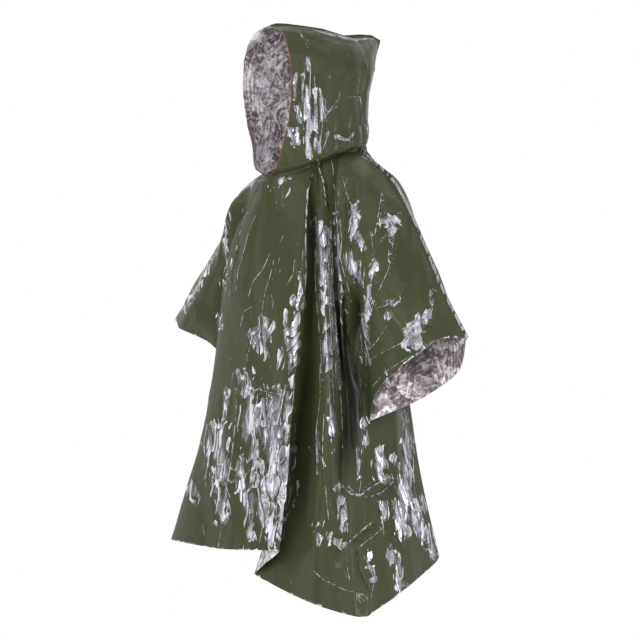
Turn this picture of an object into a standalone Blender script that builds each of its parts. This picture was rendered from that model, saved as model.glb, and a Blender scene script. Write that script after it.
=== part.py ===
"""Hooded rain poncho of thin sealed film, filled out as it is worn, with its hood up.

The garment is cut from four pieces: a front and a back, each cut in one with its half sleeves, and
two hood halves. Each piece is a wall of film with an open neck, hem, cuffs and face opening.
Metres, +Z up, the front faces -Y and the wearer's left is +X. The origin is the middle of the neck.
"""

import bpy
import numpy as np

MM = 0.001

# Driving sizes
WALL = 1.5 * MM
SHARPEST_LEAN = 0.5  # the wall's corners reach at most 1 / this further out at a sharp fold
FOOT_LEAN = 0.6  # and this at the foot of a flange or collar
SEAM_GAP = 0.3 * MM
SEAM_FIN = 6 * MM  # width of the sealed flange that stands along each seam
COLLAR_HEIGHT = 8 * MM  # neck edge of the panels, which stands up round the hood's lower edge
NECK_HALF_WIDTH = 88 * MM
NECK_HALF_DEPTH = 140 * MM
NECK_FRONT_Z = -40 * MM
NECK_SIDE_Z = 22 * MM
NECK_BACK_Z = 40 * MM

# Distances down the cloth at which the fold lines of a panel are placed. The sleeves end at UNDERARM.
LEVELS = (0.00, 0.10, 0.22, 0.34, 0.64, 1.00)
UNDERARM = 0.34
SIDE_LEVELS = (UNDERARM, 0.45, 0.64, 1.00)  # distances down at which the side seams are placed

SHARP_ANGLE = np.radians(50)

# How finely the walls are divided
SLEEVE_ROWS = 8
BODY_ROWS = 14

# Seams, x, y, z in mm: from the neck to the cuff, from the armpit to the cuff, from the armpit down.
# The shoulder seams start behind the sides of the neck, at SHOULDER_ANGLE round it from the throat.
SHOULDER_ANGLE = 117
SHOULDER_SEAMS = {
    "right": ((-122, 62, 8), (-165, 56, -14), (-210, 48, -50), (-256, 34, -106), (-360, 4, -237),
              (-462, -22, -352)),
    "left": ((116, 62, 5), (153, 59, -18), (194, 54, -48), (250, 44, -116), (306, 34, -197),
             (372, 24, -300), (440, 16, -388)),
}
SHOULDER_CROWN = {"front": 14 * MM, "back": 4 * MM}  # how far the cloth rises over the shoulders
SLEEVE_SEAMS = {
    "right": ((-174, -30, -328), (-192, -42, -402), (-204, -50, -478)),
    "left": ((174, -18, -335), (198, -44, -458), (206, -38, -568)),
}
SIDE_SEAMS = {
    "right": ((-174, -30, -328), (-168, -34, -436), (-194, -36, -600), (-288, -58, -870)),
    "left": ((174, -18, -335), (166, -26, -446), (188, -34, -612), (268, -104, -974)),
}

# Fold lines of the two panels, from the right cuff to the left cuff. Columns: name, steps to the next
# line, softness (0 is a sharp fold and 1 a round one), where it starts, and x, y, z in mm at each
# further level of LEVELS. A line starts at an angle round the neck, or at a share of the way out along
# a shoulder seam. The cuff, mid and seam lines end on the seams above.
FRONT_FOLDS = (
    ("cuff_right", 3, 1.0, ("right", 1.0), (-400, -66, -368), (-286, -66, -404)),
    ("mid_right", 3, 1.0, ("right", 0.715), (-328, -84, -282), (-252, -90, -348)),
    ("seam_right", 3, 0.9, ("right", 0.404), (-233, -75, -168), (-218, -94, -256)),
    ("arm_right", 2, 0.9, ("right", 0.156), (-180, -80, -80), (-196, -100, -190), (-176, -78, -312),
     (-196, -86, -590), (-284, -104, -868)),
    ("shoulder_right", 6, 0.8, ("neck", -117), (-146, -98, -66), (-174, -110, -184), (-166, -90, -305),
     (-188, -104, -580), (-280, -128, -866)),
    ("valley_right", 2, 0.3, ("neck", -40), (-108, -108, -84), (-145, -108, -185), (-146, -102, -300),
     (-186, -124, -570), (-270, -150, -862)),
    ("ridge_right", 4, 0.4, ("neck", -24), (-86, -130, -84), (-130, -138, -180), (-150, -144, -292),
     (-173, -170, -555), (-248, -214, -847)),
    ("centre", 6, 1.0, ("neck", 3), (-10, -148, -82), (-16, -152, -165), (-18, -162, -270),
     (-24, -192, -530), (-50, -238, -848)),
    ("ridge_left", 2, 0.2, ("neck", 55), (82, -102, -72), (91, -115, -152), (102, -134, -262),
     (129, -191, -540), (136, -237, -836)),
    ("valley_left", 3, 0.2, ("neck", 61), (74, -84, -70), (88, -90, -158), (99, -98, -270),
     (98, -134, -560), (-8, -176, -905)),
    ("ridge_side", 3, 0.8, ("neck", 70), (100, -80, -60), (124, -104, -160), (152, -118, -290),
     (192, -150, -575), (188, -172, -953)),
    ("valley_side", 2, 0.3, ("neck", 80), (112, -50, -58), (136, -70, -170), (152, -66, -305),
     (176, -88, -600), (236, -142, -968)),
    ("ridge_arm", 3, 0.4, ("neck", 90), (136, -66, -62), (168, -94, -178), (174, -92, -308),
     (190, -82, -605), (246, -137, -970)),
    ("shoulder_left", 2, 0.9, ("neck", 117), (166, -54, -68), (192, -90, -190), (184, -76, -314),
     (194, -70, -608), (253, -131, -972)),
    ("arm_left", 3, 0.9, ("left", 0.165), (190, -66, -94), (206, -94, -204), (184, -54, -322),
     (192, -54, -611), (259, -122, -974)),
    ("seam_left", 3, 0.9, ("left", 0.400), (250, -75, -174), (222, -86, -264)),
    ("mid_left", 3, 1.0, ("left", 0.690), (314, -70, -308), (238, -80, -385)),
    ("cuff_left", 0, 1.0, ("left", 1.0), (369, -50, -418), (262, -62, -496)),
)
BACK_FOLDS = (
    ("cuff_right", 3, 1.0, ("right", 1.0), (-406, 34, -396), (-290, 34, -456)),
    ("mid_right", 3, 1.0, ("right", 0.715), (-324, 58, -292), (-254, 58, -372)),
    ("seam_right", 3, 0.9, ("right", 0.404), (-246, 76, -168), (-220, 84, -262)),
    ("arm_right", 2, 0.9, ("right", 0.156), (-182, 88, -72), (-184, 104, -180), (-176, 62, -310),
     (-200, 40, -590), (-262, 30, -866)),
    ("valley_right", 4, 0.4, ("neck", -117), (-118, 104, -40), (-132, 106, -156), (-140, 88, -290),
     (-160, 96, -575), (-196, 130, -860)),
    ("ridge_right", 3, 0.6, ("neck", -140), (-84, 130, -24), (-96, 148, -146), (-108, 150, -275),
     (-122, 166, -565), (-140, 205, -856)),
    ("fold_right", 3, 0.4, ("neck", -158), (-40, 138, -20), (-48, 132, -142), (-56, 132, -270),
     (-62, 142, -560), (-66, 172, -852)),
    ("centre", 3, 0.6, ("neck", -180), (2, 148, -16), (6, 146, -140), (8, 150, -266),
     (10, 172, -558), (14, 208, -850)),
    ("fold_left", 3, 0.4, ("neck", -202), (44, 138, -20), (54, 128, -142), (62, 128, -270),
     (66, 136, -560), (62, 168, -854)),
    ("ridge_left", 4, 0.6, ("neck", -220), (80, 130, -24), (94, 144, -146), (110, 148, -275),
     (124, 164, -570), (122, 212, -862)),
    ("valley_left", 2, 0.4, ("neck", -243), (112, 110, -30), (128, 112, -156), (134, 114, -290),
     (134, 128, -585), (150, 164, -870)),
    ("corner_left", 2, 0.8, ("left", 0.100), (148, 108, -42), (166, 118, -162), (158, 116, -305),
     (160, 150, -600), (198, 194, -876)),
    ("arm_left", 3, 0.9, ("left", 0.185), (198, 90, -74), (208, 104, -184), (182, 66, -322),
     (196, 60, -615), (237, 60, -927)),
    ("seam_left", 3, 0.9, ("left", 0.400), (250, 78, -166), (228, 86, -266)),
    ("mid_left", 3, 1.0, ("left", 0.690), (340, 62, -296), (268, 70, -392)),
    ("cuff_left", 0, 1.0, ("left", 1.0), (400, 38, -452), (298, 42, -514)),
)


# Curves

def smooth_curve(knots, values, at, soft=1.0):
    """Points at positions `at` on a curve that passes through values at knots."""
    knots = np.asarray(knots, float)
    values = np.asarray(values, float)
    at = np.asarray(at, float)
    slopes = np.gradient(values, knots, axis=0) * np.broadcast_to(soft, knots.shape)[:, None]
    i = np.clip(np.searchsorted(knots, at, side="right") - 1, 0, len(knots) - 2)
    step = (knots[i + 1] - knots[i])[:, None]
    t = (at - knots[i])[:, None] / step
    start = (1 + 2 * t) * (1 - t) ** 2 * values[i] + t * (1 - t) ** 2 * step * slopes[i]
    end = t**2 * (3 - 2 * t) * values[i + 1] - t**2 * (1 - t) * step * slopes[i + 1]
    return start + end


def chord_lengths(points):
    """Distance along a chain of points up to each of them."""
    steps = np.linalg.norm(np.diff(points, axis=0), axis=1)
    return np.concatenate(([0.0], np.cumsum(steps)))


def neck_point(degrees):
    """Point on the neck seam; 0 is the throat, 90 the left side and 180 the nape."""
    a = np.radians(degrees)
    rise = NECK_SIDE_Z - NECK_FRONT_Z if np.cos(a) > 0 else NECK_BACK_Z - NECK_SIDE_Z
    z = NECK_SIDE_Z - rise * np.cos(a)
    return np.array([NECK_HALF_WIDTH * np.sin(a), -NECK_HALF_DEPTH * np.cos(a), z])


def neck_normal(point):
    """Level direction straight out of the neck at a point on its seam."""
    return unit(np.array([point[0] / NECK_HALF_WIDTH**2, point[1] / NECK_HALF_DEPTH**2, 0.0]))


def unit(vectors):
    return vectors / np.linalg.norm(vectors, axis=-1, keepdims=True)


# Walls

def split_quads(points, quads):
    """Two triangles for each quad, cut along its shorter diagonal."""
    a, b, c, d = (points[quads[:, k]] for k in range(4))
    along_ac = np.linalg.norm(a - c, axis=1) <= np.linalg.norm(b - d, axis=1)
    pick = np.where(along_ac[:, None], quads[:, (0, 1, 2, 0, 2, 3)], quads[:, (0, 1, 3, 1, 2, 3)])
    return pick.reshape(-1, 3)


def sheet_offsets(points, triangles):
    """Half the wall at each point, square to the sheet and lengthened a little where it turns sharply."""
    corners = points[triangles]
    faces = unit(np.cross(corners[:, 1] - corners[:, 0], corners[:, 2] - corners[:, 0]))
    normals = np.zeros_like(points)
    for k in range(3):
        one = unit(corners[:, (k + 1) % 3] - corners[:, k])
        other = unit(corners[:, (k + 2) % 3] - corners[:, k])
        angle = np.arccos(np.clip(np.sum(one * other, axis=1), -1, 1))
        np.add.at(normals, triangles[:, k], faces * angle[:, None])
    normals = unit(normals)
    lean = np.ones(len(points))
    for k in range(3):
        np.minimum.at(lean, triangles[:, k], np.sum(normals[triangles[:, k]] * faces, axis=1))
    return normals * (WALL / 2) / np.clip(lean, SHARPEST_LEAN, 1)[:, None]


def grid_quads(index):
    """Quads between the filled places of an index grid."""
    a, b = index[:-1, :-1].ravel(), index[:-1, 1:].ravel()
    c, d = index[1:, 1:].ravel(), index[1:, :-1].ravel()
    quads = np.stack([a, d, c, b], axis=1)
    return quads[(quads >= 0).all(axis=1)]


def rim_edges(triangles):
    """Directed edges that belong to one triangle only."""
    edges = {(tri[k], tri[(k + 1) % 3]): True for tri in triangles.tolist() for k in range(3)}
    return [edge for edge in edges if (edge[1], edge[0]) not in edges]


def wall_object(name, outer, inner, triangles, material):
    """Closed solid between an outer and an inner sheet of points that share their triangles."""
    count = len(outer)
    faces = [tuple(tri) for tri in triangles.tolist()]
    faces += [tuple(count + v for v in reversed(tri)) for tri in triangles.tolist()]
    faces += [(b, a, count + a, count + b) for a, b in rim_edges(triangles)]
    mesh = bpy.data.meshes.new(name)
    mesh.from_pydata(np.concatenate([outer, inner]).tolist(), [], faces)
    mesh.materials.append(material)
    mesh.shade_smooth()
    mesh.set_sharp_from_angle(angle=SHARP_ANGLE)
    obj = bpy.data.objects.new(name, mesh)
    bpy.context.scene.collection.objects.link(obj)
    return obj


# Panels

def fold_start(start):
    kind, value = start
    if kind == "neck":
        return neck_point(value)
    neck_end = neck_point(SHOULDER_ANGLE if kind == "left" else -SHOULDER_ANGLE)
    seam = np.vstack([neck_end, np.array(SHOULDER_SEAMS[kind], float) * MM])
    lengths = chord_lengths(seam)
    return smooth_curve(lengths, seam, [value * lengths[-1]])[0]


def side_seam(side, downs):
    return smooth_curve(SIDE_LEVELS, np.array(SIDE_SEAMS[side], float) * MM, downs)


def sleeve_seam(side, count):
    """Points under a sleeve, from the armpit to the cuff, with its middle point on the mid line."""
    points = np.array(SLEEVE_SEAMS[side], float) * MM
    return smooth_curve(range(3), points, np.linspace(0, 2, count))


def fold_positions(fold, downs, crown):
    """Where a fold line is at each distance down the cloth; nan below the end of a sleeve line."""
    name, _, _, start, *points = fold
    line, side = name.split("_")[0], name.split("_")[-1]
    places = np.full((len(downs), 3), np.nan)
    values = np.vstack([fold_start(start), np.array(points, float) * MM])
    if line in ("cuff", "mid", "seam"):
        end = {"seam": 0, "mid": 1, "cuff": 2}[line]
        values = np.vstack([values, np.array(SLEEVE_SEAMS[side][end], float) * MM])
    above = downs <= LEVELS[len(values) - 1] + 1e-9
    places[above] = smooth_curve(LEVELS[: len(values)], values, downs[above])
    if line == "seam":
        places[~above] = side_seam(side, downs[~above])
    places[:, 2] += crown * np.sin(np.pi * np.clip(downs / LEVELS[1], 0, 1))
    return places


def across_folds(row, softness, steps):
    """Points across the fold lines of one row, with that many steps from each line to the next."""
    lengths = np.linalg.norm(np.diff(row, axis=0), axis=1)
    knots = np.concatenate(([0.0], np.cumsum(lengths**0.7)))
    lines = np.concatenate(([0], np.cumsum(steps)))
    at = np.interp(np.arange(lines[-1] + 1), lines, knots)
    return smooth_curve(knots, row, at, softness)


def start_between(left, right, share):
    """Point on the top edge between the starts of two neighbouring fold lines."""
    kinds = (left[0], right[0])
    if kinds[0] == kinds[1]:
        return fold_start((kinds[0], left[1] + (right[1] - left[1]) * share))
    if kinds[0] == "neck":
        return fold_start((kinds[1], right[1] * share))
    return fold_start((kinds[0], left[1] * (1 - share)))


def top_edge(folds):
    """Top edge of a panel: in along the right shoulder seam, round the neck, out along the left."""
    points = []
    for fold, following in zip(folds[:-1], folds[1:]):
        shares = np.arange(fold[1]) / fold[1]
        points += [start_between(fold[3], following[3], share) for share in shares]
    return np.array(points + [fold_start(folds[-1][3])])


def seam_frame(points, outward, facing):
    """Directions along a seam: out of the garment in the seam's plane, and square to that plane."""
    along = unit(np.gradient(points, axis=0))
    out = np.broadcast_to(np.asarray(outward, float), along.shape)
    out = unit(out - np.sum(out * along, axis=1, keepdims=True) * along)
    square = unit(np.cross(along, out))
    return out, square * np.sign(square[:, 1:2]) * facing


class Panel:
    """Points of a front or back panel. facing is -1 for the front and 1 for the back."""

    def __init__(self, folds, facing, crown):
        self.folds = folds
        self.facing = facing
        self.crown = crown
        self.names = [fold[0] for fold in folds]
        self.lines = np.concatenate(([0], np.cumsum([fold[1] for fold in folds[:-1]])))
        self.width = self.lines[-1] + 1
        self.right = self.lines[self.names.index("seam_right")]
        self.left = self.lines[self.names.index("seam_left")]
        on_neck = [line for line, fold in zip(self.lines, folds) if fold[3][0] == "neck"]
        self.neck_start, self.neck_end = on_neck[0], on_neck[-1]
        sleeve = np.linspace(0, UNDERARM, SLEEVE_ROWS + 1)
        body = np.linspace(UNDERARM, LEVELS[-1], BODY_ROWS + 1)[1:]
        self.downs = np.concatenate([sleeve, body])
        self.rows = self.place_rows()
        self.number_points()
        quads = grid_quads(self.index)
        self.triangles = split_quads(self.points, quads if facing < 0 else quads[:, ::-1])
        self.fit_seams()

    def place_rows(self):
        """Rows of points down the panel, with its edges set exactly on the shared seams."""
        softness = np.array([fold[2] for fold in self.folds])
        steps = [fold[1] for fold in self.folds[:-1]]
        places = np.stack([fold_positions(fold, self.downs, self.crown) for fold in self.folds], axis=1)
        body = slice(self.names.index("seam_right"), self.names.index("seam_left") + 1)
        body_steps = steps[body.start : body.stop - 1]
        rows = []
        for r in range(len(self.downs)):
            if r <= SLEEVE_ROWS:
                rows.append(across_folds(places[r], softness, steps))
            else:
                rows.append(across_folds(places[r, body], softness[body], body_steps))
        rows[0] = top_edge(self.folds)
        under = rows[SLEEVE_ROWS]
        under[: self.right + 1] = sleeve_seam("right", self.right + 1)[::-1]
        under[self.left :] = sleeve_seam("left", self.width - self.left)
        return rows

    def number_points(self):
        """Index grid of the panel: the collar and shoulder flange, the sleeve rows, the body rows."""
        self.index = np.full((len(self.rows) + 1, self.width), -1)
        points = [self.rows[0]]
        self.index[0] = np.arange(self.width)
        count = self.width
        for r, row in enumerate(self.rows):
            start = 0 if len(row) == self.width else self.right
            self.index[r + 1, start : start + len(row)] = count + np.arange(len(row))
            points.append(row)
            count += len(row)
        self.points = np.concatenate(points)

    def fit_seams(self):
        """Sets the panel back from each seam by its half of the gap and raises the collar and flange."""
        square = self.fit_top()
        under = self.index[SLEEVE_ROWS + 1]
        side_right = self.index[SLEEVE_ROWS + 1 :, self.right]
        side_left = self.index[SLEEVE_ROWS + 1 :, self.left]
        inner = slice(self.right + 1, self.left)
        offsets = sheet_offsets(self.points, self.triangles)
        self.set_back(under[self.right :: -1], (-1, 0, 0), offsets)
        self.set_back(under[self.left :], (1, 0, 0), offsets)
        self.set_back(side_right[1:], (-1, 0, 0), offsets)
        self.set_back(side_left[1:], (1, 0, 0), offsets)
        self.offsets = sheet_offsets(self.points, self.triangles)
        hem, above_hem = self.index[-1, inner], self.index[-2, inner]
        self.offsets[hem] = self.offsets[above_hem]
        self.square_top(square)

    def set_back(self, line, outward, offsets):
        """Moves a line of points off the seam's plane, so that the wall's corner keeps half the gap."""
        _, square = seam_frame(self.points[line], outward, self.facing)
        reach = np.abs(np.sum(offsets[line] * square, axis=1, keepdims=True))
        self.points[line] += square * (SEAM_GAP / 2 + reach)

    def fit_top(self):
        """Raises the flange along the shoulders and the collar round the neck."""
        base, tip = self.index[1], self.index[0]
        out = np.zeros((self.width, 3))
        square = np.zeros((self.width, 3))
        right, left = slice(0, self.neck_start + 1), slice(self.neck_end, self.width)
        for columns, outward in ((right, (-1, 0, 1)), (left, (1, 0, 1))):
            out[columns], square[columns] = seam_frame(self.points[base[columns]], outward, self.facing)
        self.points[base] += square * (SEAM_GAP / 2 + WALL / 2)
        neck = slice(self.neck_start, self.neck_end + 1)
        out[neck] = (0, 0, 1)
        height = np.full((self.width, 1), SEAM_FIN)
        height[neck] = COLLAR_HEIGHT
        self.points[tip] = self.points[base] + out * height
        for column in range(self.neck_start + 1, self.neck_end):
            square[column] = neck_normal(self.points[base[column]])
        square[self.neck_start, 0] -= 1
        square[self.neck_end, 0] += 1
        return square

    def square_top(self, square):
        """Keeps the flange and collar, and their foot, square to the seams."""
        base, tip = self.index[1], self.index[0]
        self.offsets[tip] = square * WALL / 2
        normals = unit(self.offsets[base])
        lean = np.sum(normals * unit(square), axis=1, keepdims=True)
        self.offsets[base] = normals * WALL / 2 / np.clip(lean, FOOT_LEAN, 1)
        corners = [self.neck_start, self.neck_end]
        self.offsets[base[corners]] = square[corners] * WALL / 2

    def build(self, name, material):
        outer = self.points + self.offsets
        inner = self.points - self.offsets
        return wall_object(name, outer, inner, self.triangles, material)


# Hood

HOOD_COLUMNS = 28
HOOD_ROWS = 13
HOOD_HALF_WIDTH = 103 * MM
HOOD_TOP_ROUNDING = 115 * MM  # how far below the top seam the hood reaches its full width
HOOD_BACK_ROUNDING = 170 * MM  # how far in front of the back seam it does
NECK_LAP_GAP = 1.0 * MM  # more than SEAM_GAP, because both walls are many-sided round the neck
LAP_HEIGHTS = (0.5 * MM, COLLAR_HEIGHT + 2 * MM)  # the hood's lower edge, and where it leaves the collar
BLOUSE = 10 * MM  # how far the hood bags out over the neck seam
GATHERS = 7  # gathers round each half of the neck
GATHER_DEPTH = 3 * MM
FACE_SHARE = 0.35  # share of the hood's depth over which it takes the face opening's width
LAP_SHARE = 0.12  # shares of its height over which it leaves the neck, bags out and is gathered
BLOUSE_SHARE = 0.24
GATHER_SHARE = 0.4

# Edge of the face opening from the throat to the top. Columns: y, z and half-width in mm.
FACE_EDGE = (
    (-143, -31, 1), (-145, -28, 18), (-147, -20, 30), (-146, 14, 42), (-144, 46, 52), (-144, 82, 66),
    (-145, 130, 75), (-146, 180, 78), (-148, 228, 73), (-147, 260, 62), (-144, 284, 44), (-140, 298, 1),
)
# Centre seam over the head and down the back, which meet in a square corner. Columns: y, z in mm.
TOP_SEAM = ((-140, 298), (-90, 302), (-43, 303), (22, 303), (90, 295), (145, 303), (180, 305), (203, 298))
BACK_SEAM = ((141, 50), (148, 74), (155, 110), (161, 171), (184, 245), (203, 298))


def rounding(share):
    """Half-width of a round form at a share of the way in from its edge."""
    inward = 1 - np.clip(share, 0, 1)
    return np.sqrt(1 - inward**2)


def fading(share, reach):
    """1 at the start, falling smoothly to 0 at reach."""
    return np.clip(1 - share / reach, 0, 1) ** 2


def lap_point(u, height):
    """Point of the hood's lower edge, which stands inside the collar."""
    ring = neck_point(180 * u)
    return ring - neck_normal(ring) * (WALL + NECK_LAP_GAP) + np.array([0, 0, height])


def hood_point(u, v):
    """Point of the left half; u runs from the face opening to the back seam, v from neck to top."""
    face = np.array(FACE_EDGE, float) * MM
    back = np.array(BACK_SEAM, float) * MM
    top = np.array(TOP_SEAM, float) * MM
    knots = chord_lengths(face)
    heights = back[:, 1] - back[0, 1]
    face_y, face_z, face_x = (np.interp(v * knots[-1], knots, face[:, i]) for i in range(3))
    back_y, back_z = (np.interp(v * heights[-1], heights, back[:, i]) for i in range(2))

    y = face_y + (back_y - face_y) * u
    level_z = face_z + (back_z - face_z) * u
    straight_top = top[0, 1] + (top[-1, 1] - top[0, 1]) * u
    top_z = np.interp(y, top[:, 0], top[:, 1])
    z = level_z + (top_z - straight_top) * v**3

    from_back = np.clip((back_y - y) / HOOD_BACK_ROUNDING, 0, 1)
    taper = (rounding(from_back) + np.sin(from_back * np.pi / 2)) / 2
    x = HOOD_HALF_WIDTH * rounding((top_z - z) / HOOD_TOP_ROUNDING) * taper
    near_face = fading(u, FACE_SHARE)
    x = x * (1 - near_face) + face_x * near_face

    lift = level_z - (face[0, 1] + (back[0, 1] - face[0, 1]) * u)
    lap = lap_point(u, LAP_HEIGHTS[-1] + lift)
    near_lap = fading(v, LAP_SHARE)
    point = np.array([x, y, z]) * (1 - near_lap) + lap * near_lap
    bag = BLOUSE * np.sin(np.pi * min(v / BLOUSE_SHARE, 1)) * np.sin(np.pi * min(u, 1)) ** 0.6
    wave = GATHER_DEPTH * np.sin(2 * np.pi * GATHERS * u) * max(1 - v / GATHER_SHARE, 0)
    return point + neck_normal(neck_point(180 * u)) * (bag + wave * np.sin(np.pi * u))


class HoodHalf:
    """Points of one hood half. side is 1 for the left half and -1 for the right."""

    def __init__(self, side):
        self.side = side
        us = np.linspace(0, 1, HOOD_COLUMNS + 1)
        vs = np.arange(1, HOOD_ROWS + 1) / HOOD_ROWS
        lap = [[lap_point(u, height) for u in us] for height in LAP_HEIGHTS]
        bag = [[hood_point(u, v) for u in us] for v in vs]
        grid = np.array(lap + bag)
        above = len(lap)
        grid[..., 0] = np.maximum(grid[..., 0], SEAM_GAP / 2)
        grid[above:, 1:, 0] = np.maximum(grid[above:, 1:, 0], (SEAM_GAP + WALL) / 2)
        grid[above:, -1, 0] = (SEAM_GAP + WALL) / 2
        grid[-1, :, 0] = (SEAM_GAP + WALL) / 2
        self.number_points(grid, above)
        self.triangles = split_quads(self.points, grid_quads(self.index)[:, ::-1])
        self.offsets = sheet_offsets(self.points, self.triangles)
        self.fit_flange()

    def number_points(self, grid, above):
        """Index grid with a further row and column for the flange along the top and back seams."""
        rows, columns = grid.shape[:2]
        top = grid[-1] + self.flange(grid[-1], (0, 0, 1))
        back = grid[above:, -1] + self.flange(grid[above:, -1], (0, 1, 0))
        corner = back[-1] + top[-1] - grid[-1, -1]
        count = rows * columns
        self.index = np.full((rows + 1, columns + 1), -1)
        self.index[:rows, :columns] = np.arange(count).reshape(rows, columns)
        self.index[rows, :columns] = count + np.arange(columns)
        self.index[above:rows, columns] = count + columns + np.arange(len(back))
        self.index[rows, columns] = count + columns + len(back)
        self.points = np.concatenate([grid.reshape(-1, 3), top, back, [corner]])
        self.tips = np.arange(count, len(self.points))
        top_foot = self.index[rows - 1, :columns]
        back_foot = self.index[above : rows - 1, columns - 1]
        self.feet = np.concatenate([top_foot, back_foot])

    def flange(self, seam, outward):
        """Steps from the points of a seam to the edge of its flange."""
        along = unit(np.gradient(seam, axis=0))
        out = np.broadcast_to(np.asarray(outward, float), along.shape)
        return unit(out - np.sum(out * along, axis=1, keepdims=True) * along) * SEAM_FIN

    def fit_flange(self):
        """Keeps the flange and its foot square to the centre plane."""
        square = np.array([1.0, 0, 0])
        self.offsets[self.tips] = square * WALL / 2
        foot = unit(self.offsets[self.feet])
        lean = np.clip(foot @ square, FOOT_LEAN, 1)[:, None]
        self.offsets[self.feet] = foot * WALL / 2 / lean

    def build(self, name, material):
        outer = self.points + self.offsets
        inner = self.points - self.offsets
        for sheet in (outer, inner):
            sheet[:, 0] = np.maximum(sheet[:, 0], SEAM_GAP / 2) * self.side
        triangles = self.triangles if self.side > 0 else self.triangles[:, ::-1]
        return wall_object(name, outer, inner, triangles, material)


# Materials

def film_material(name, colour, metallic, roughness):
    material = bpy.data.materials.new(name)
    material.use_nodes = True
    shader = material.node_tree.nodes["Principled BSDF"]
    shader.inputs["Base Color"].default_value = (*colour, 1)
    shader.inputs["Metallic"].default_value = metallic
    shader.inputs["Roughness"].default_value = roughness
    return material


def main():
    for obj in list(bpy.data.objects):
        bpy.data.objects.remove(obj)
    shades = {
        "front_panel": (0.083, 0.093, 0.042),
        "back_panel": (0.078, 0.088, 0.040),
        "hood_left": (0.085, 0.095, 0.043),
        "hood_right": (0.080, 0.090, 0.041),
    }
    films = {name: film_material(name + "_film", colour, 0.0, 0.28) for name, colour in shades.items()}
    front = Panel(FRONT_FOLDS, -1, SHOULDER_CROWN["front"])
    back = Panel(BACK_FOLDS, 1, SHOULDER_CROWN["back"])
    front.build("front_panel", films["front_panel"])
    back.build("back_panel", films["back_panel"])
    HoodHalf(1).build("hood_left", films["hood_left"])
    HoodHalf(-1).build("hood_right", films["hood_right"])


main()
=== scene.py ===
"""Looks of the hooded rain poncho: creased glossy film outside, crumpled metallised film inside.

Each of the four cut pieces is a thin shell on the form of its CAD solid, from the same fold lines,
with its creases pressed in. Metres, +Z up, the front faces -Y and the wearer's left is +X.
"""

import bpy
import numpy as np
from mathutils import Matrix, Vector


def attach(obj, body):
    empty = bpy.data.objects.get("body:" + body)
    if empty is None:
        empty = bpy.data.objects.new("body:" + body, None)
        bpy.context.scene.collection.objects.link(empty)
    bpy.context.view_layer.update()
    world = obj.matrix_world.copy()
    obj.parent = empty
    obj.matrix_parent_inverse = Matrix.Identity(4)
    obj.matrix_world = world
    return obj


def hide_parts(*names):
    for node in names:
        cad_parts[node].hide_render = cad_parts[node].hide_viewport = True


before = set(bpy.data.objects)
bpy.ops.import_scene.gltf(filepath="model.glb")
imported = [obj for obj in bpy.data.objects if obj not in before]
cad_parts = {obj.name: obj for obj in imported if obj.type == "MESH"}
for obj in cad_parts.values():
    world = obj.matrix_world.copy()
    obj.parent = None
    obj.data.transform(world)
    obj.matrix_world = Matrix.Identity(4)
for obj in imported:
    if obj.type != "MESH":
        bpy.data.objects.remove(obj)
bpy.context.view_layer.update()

MM = 0.001

# Driving sizes
FILM = 0.6 * MM  # shown thickness of the film
SHARPEST_LEAN = 0.5  # the film's corners reach at most 1 / this further out at a sharp fold
FOOT_LEAN = 0.6  # and this at the foot of a flange or collar
SHARP_ANGLE = np.radians(50)  # edges that turn more than this are shaded sharp
SEAM_GAP = 0.3 * MM
SEAM_FIN = 6 * MM  # width of the sealed flange that stands along each seam
SEAM_REACH = 4  # steps of the grid over which creases die out towards a seam
COLLAR_HEIGHT = 8 * MM  # neck edge of the panels, which stands up round the hood's lower edge
NECK_HALF_WIDTH = 88 * MM
NECK_HALF_DEPTH = 140 * MM
NECK_FRONT_Z = -40 * MM
NECK_SIDE_Z = 22 * MM
NECK_BACK_Z = 40 * MM
PANEL_GRID = 4.25 * MM  # spacing of the points of a panel
HOOD_GRID = 1.95 * MM

# Distances down the cloth at which the fold lines of a panel are placed. The sleeves end at UNDERARM.
LEVELS = (0.00, 0.10, 0.22, 0.34, 0.64, 1.00)
UNDERARM = 0.34
SIDE_LEVELS = (UNDERARM, 0.45, 0.64, 1.00)  # distances down at which the side seams are placed
PANEL_LENGTH = 0.92  # from the neck to the hem along the cloth

# Seams, x, y, z in mm: from the neck to the cuff, from the armpit to the cuff, from the armpit down.
# The shoulder seams start behind the sides of the neck, at SHOULDER_ANGLE round it from the throat.
SHOULDER_ANGLE = 117
SHOULDER_SEAMS = {
    "right": ((-122, 62, 8), (-165, 56, -14), (-210, 48, -50), (-256, 34, -106), (-360, 4, -237),
              (-462, -22, -352)),
    "left": ((116, 62, 5), (153, 59, -18), (194, 54, -48), (250, 44, -116), (306, 34, -197),
             (372, 24, -300), (440, 16, -388)),
}
SHOULDER_CROWN = {"front": 14 * MM, "back": 4 * MM}  # how far the cloth rises over the shoulders
SLEEVE_SEAMS = {
    "right": ((-174, -30, -328), (-192, -42, -402), (-204, -50, -478)),
    "left": ((174, -18, -335), (198, -44, -458), (206, -38, -568)),
}
SIDE_SEAMS = {
    "right": ((-174, -30, -328), (-168, -34, -436), (-194, -36, -600), (-288, -58, -870)),
    "left": ((174, -18, -335), (166, -26, -446), (188, -34, -612), (268, -104, -974)),
}

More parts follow.
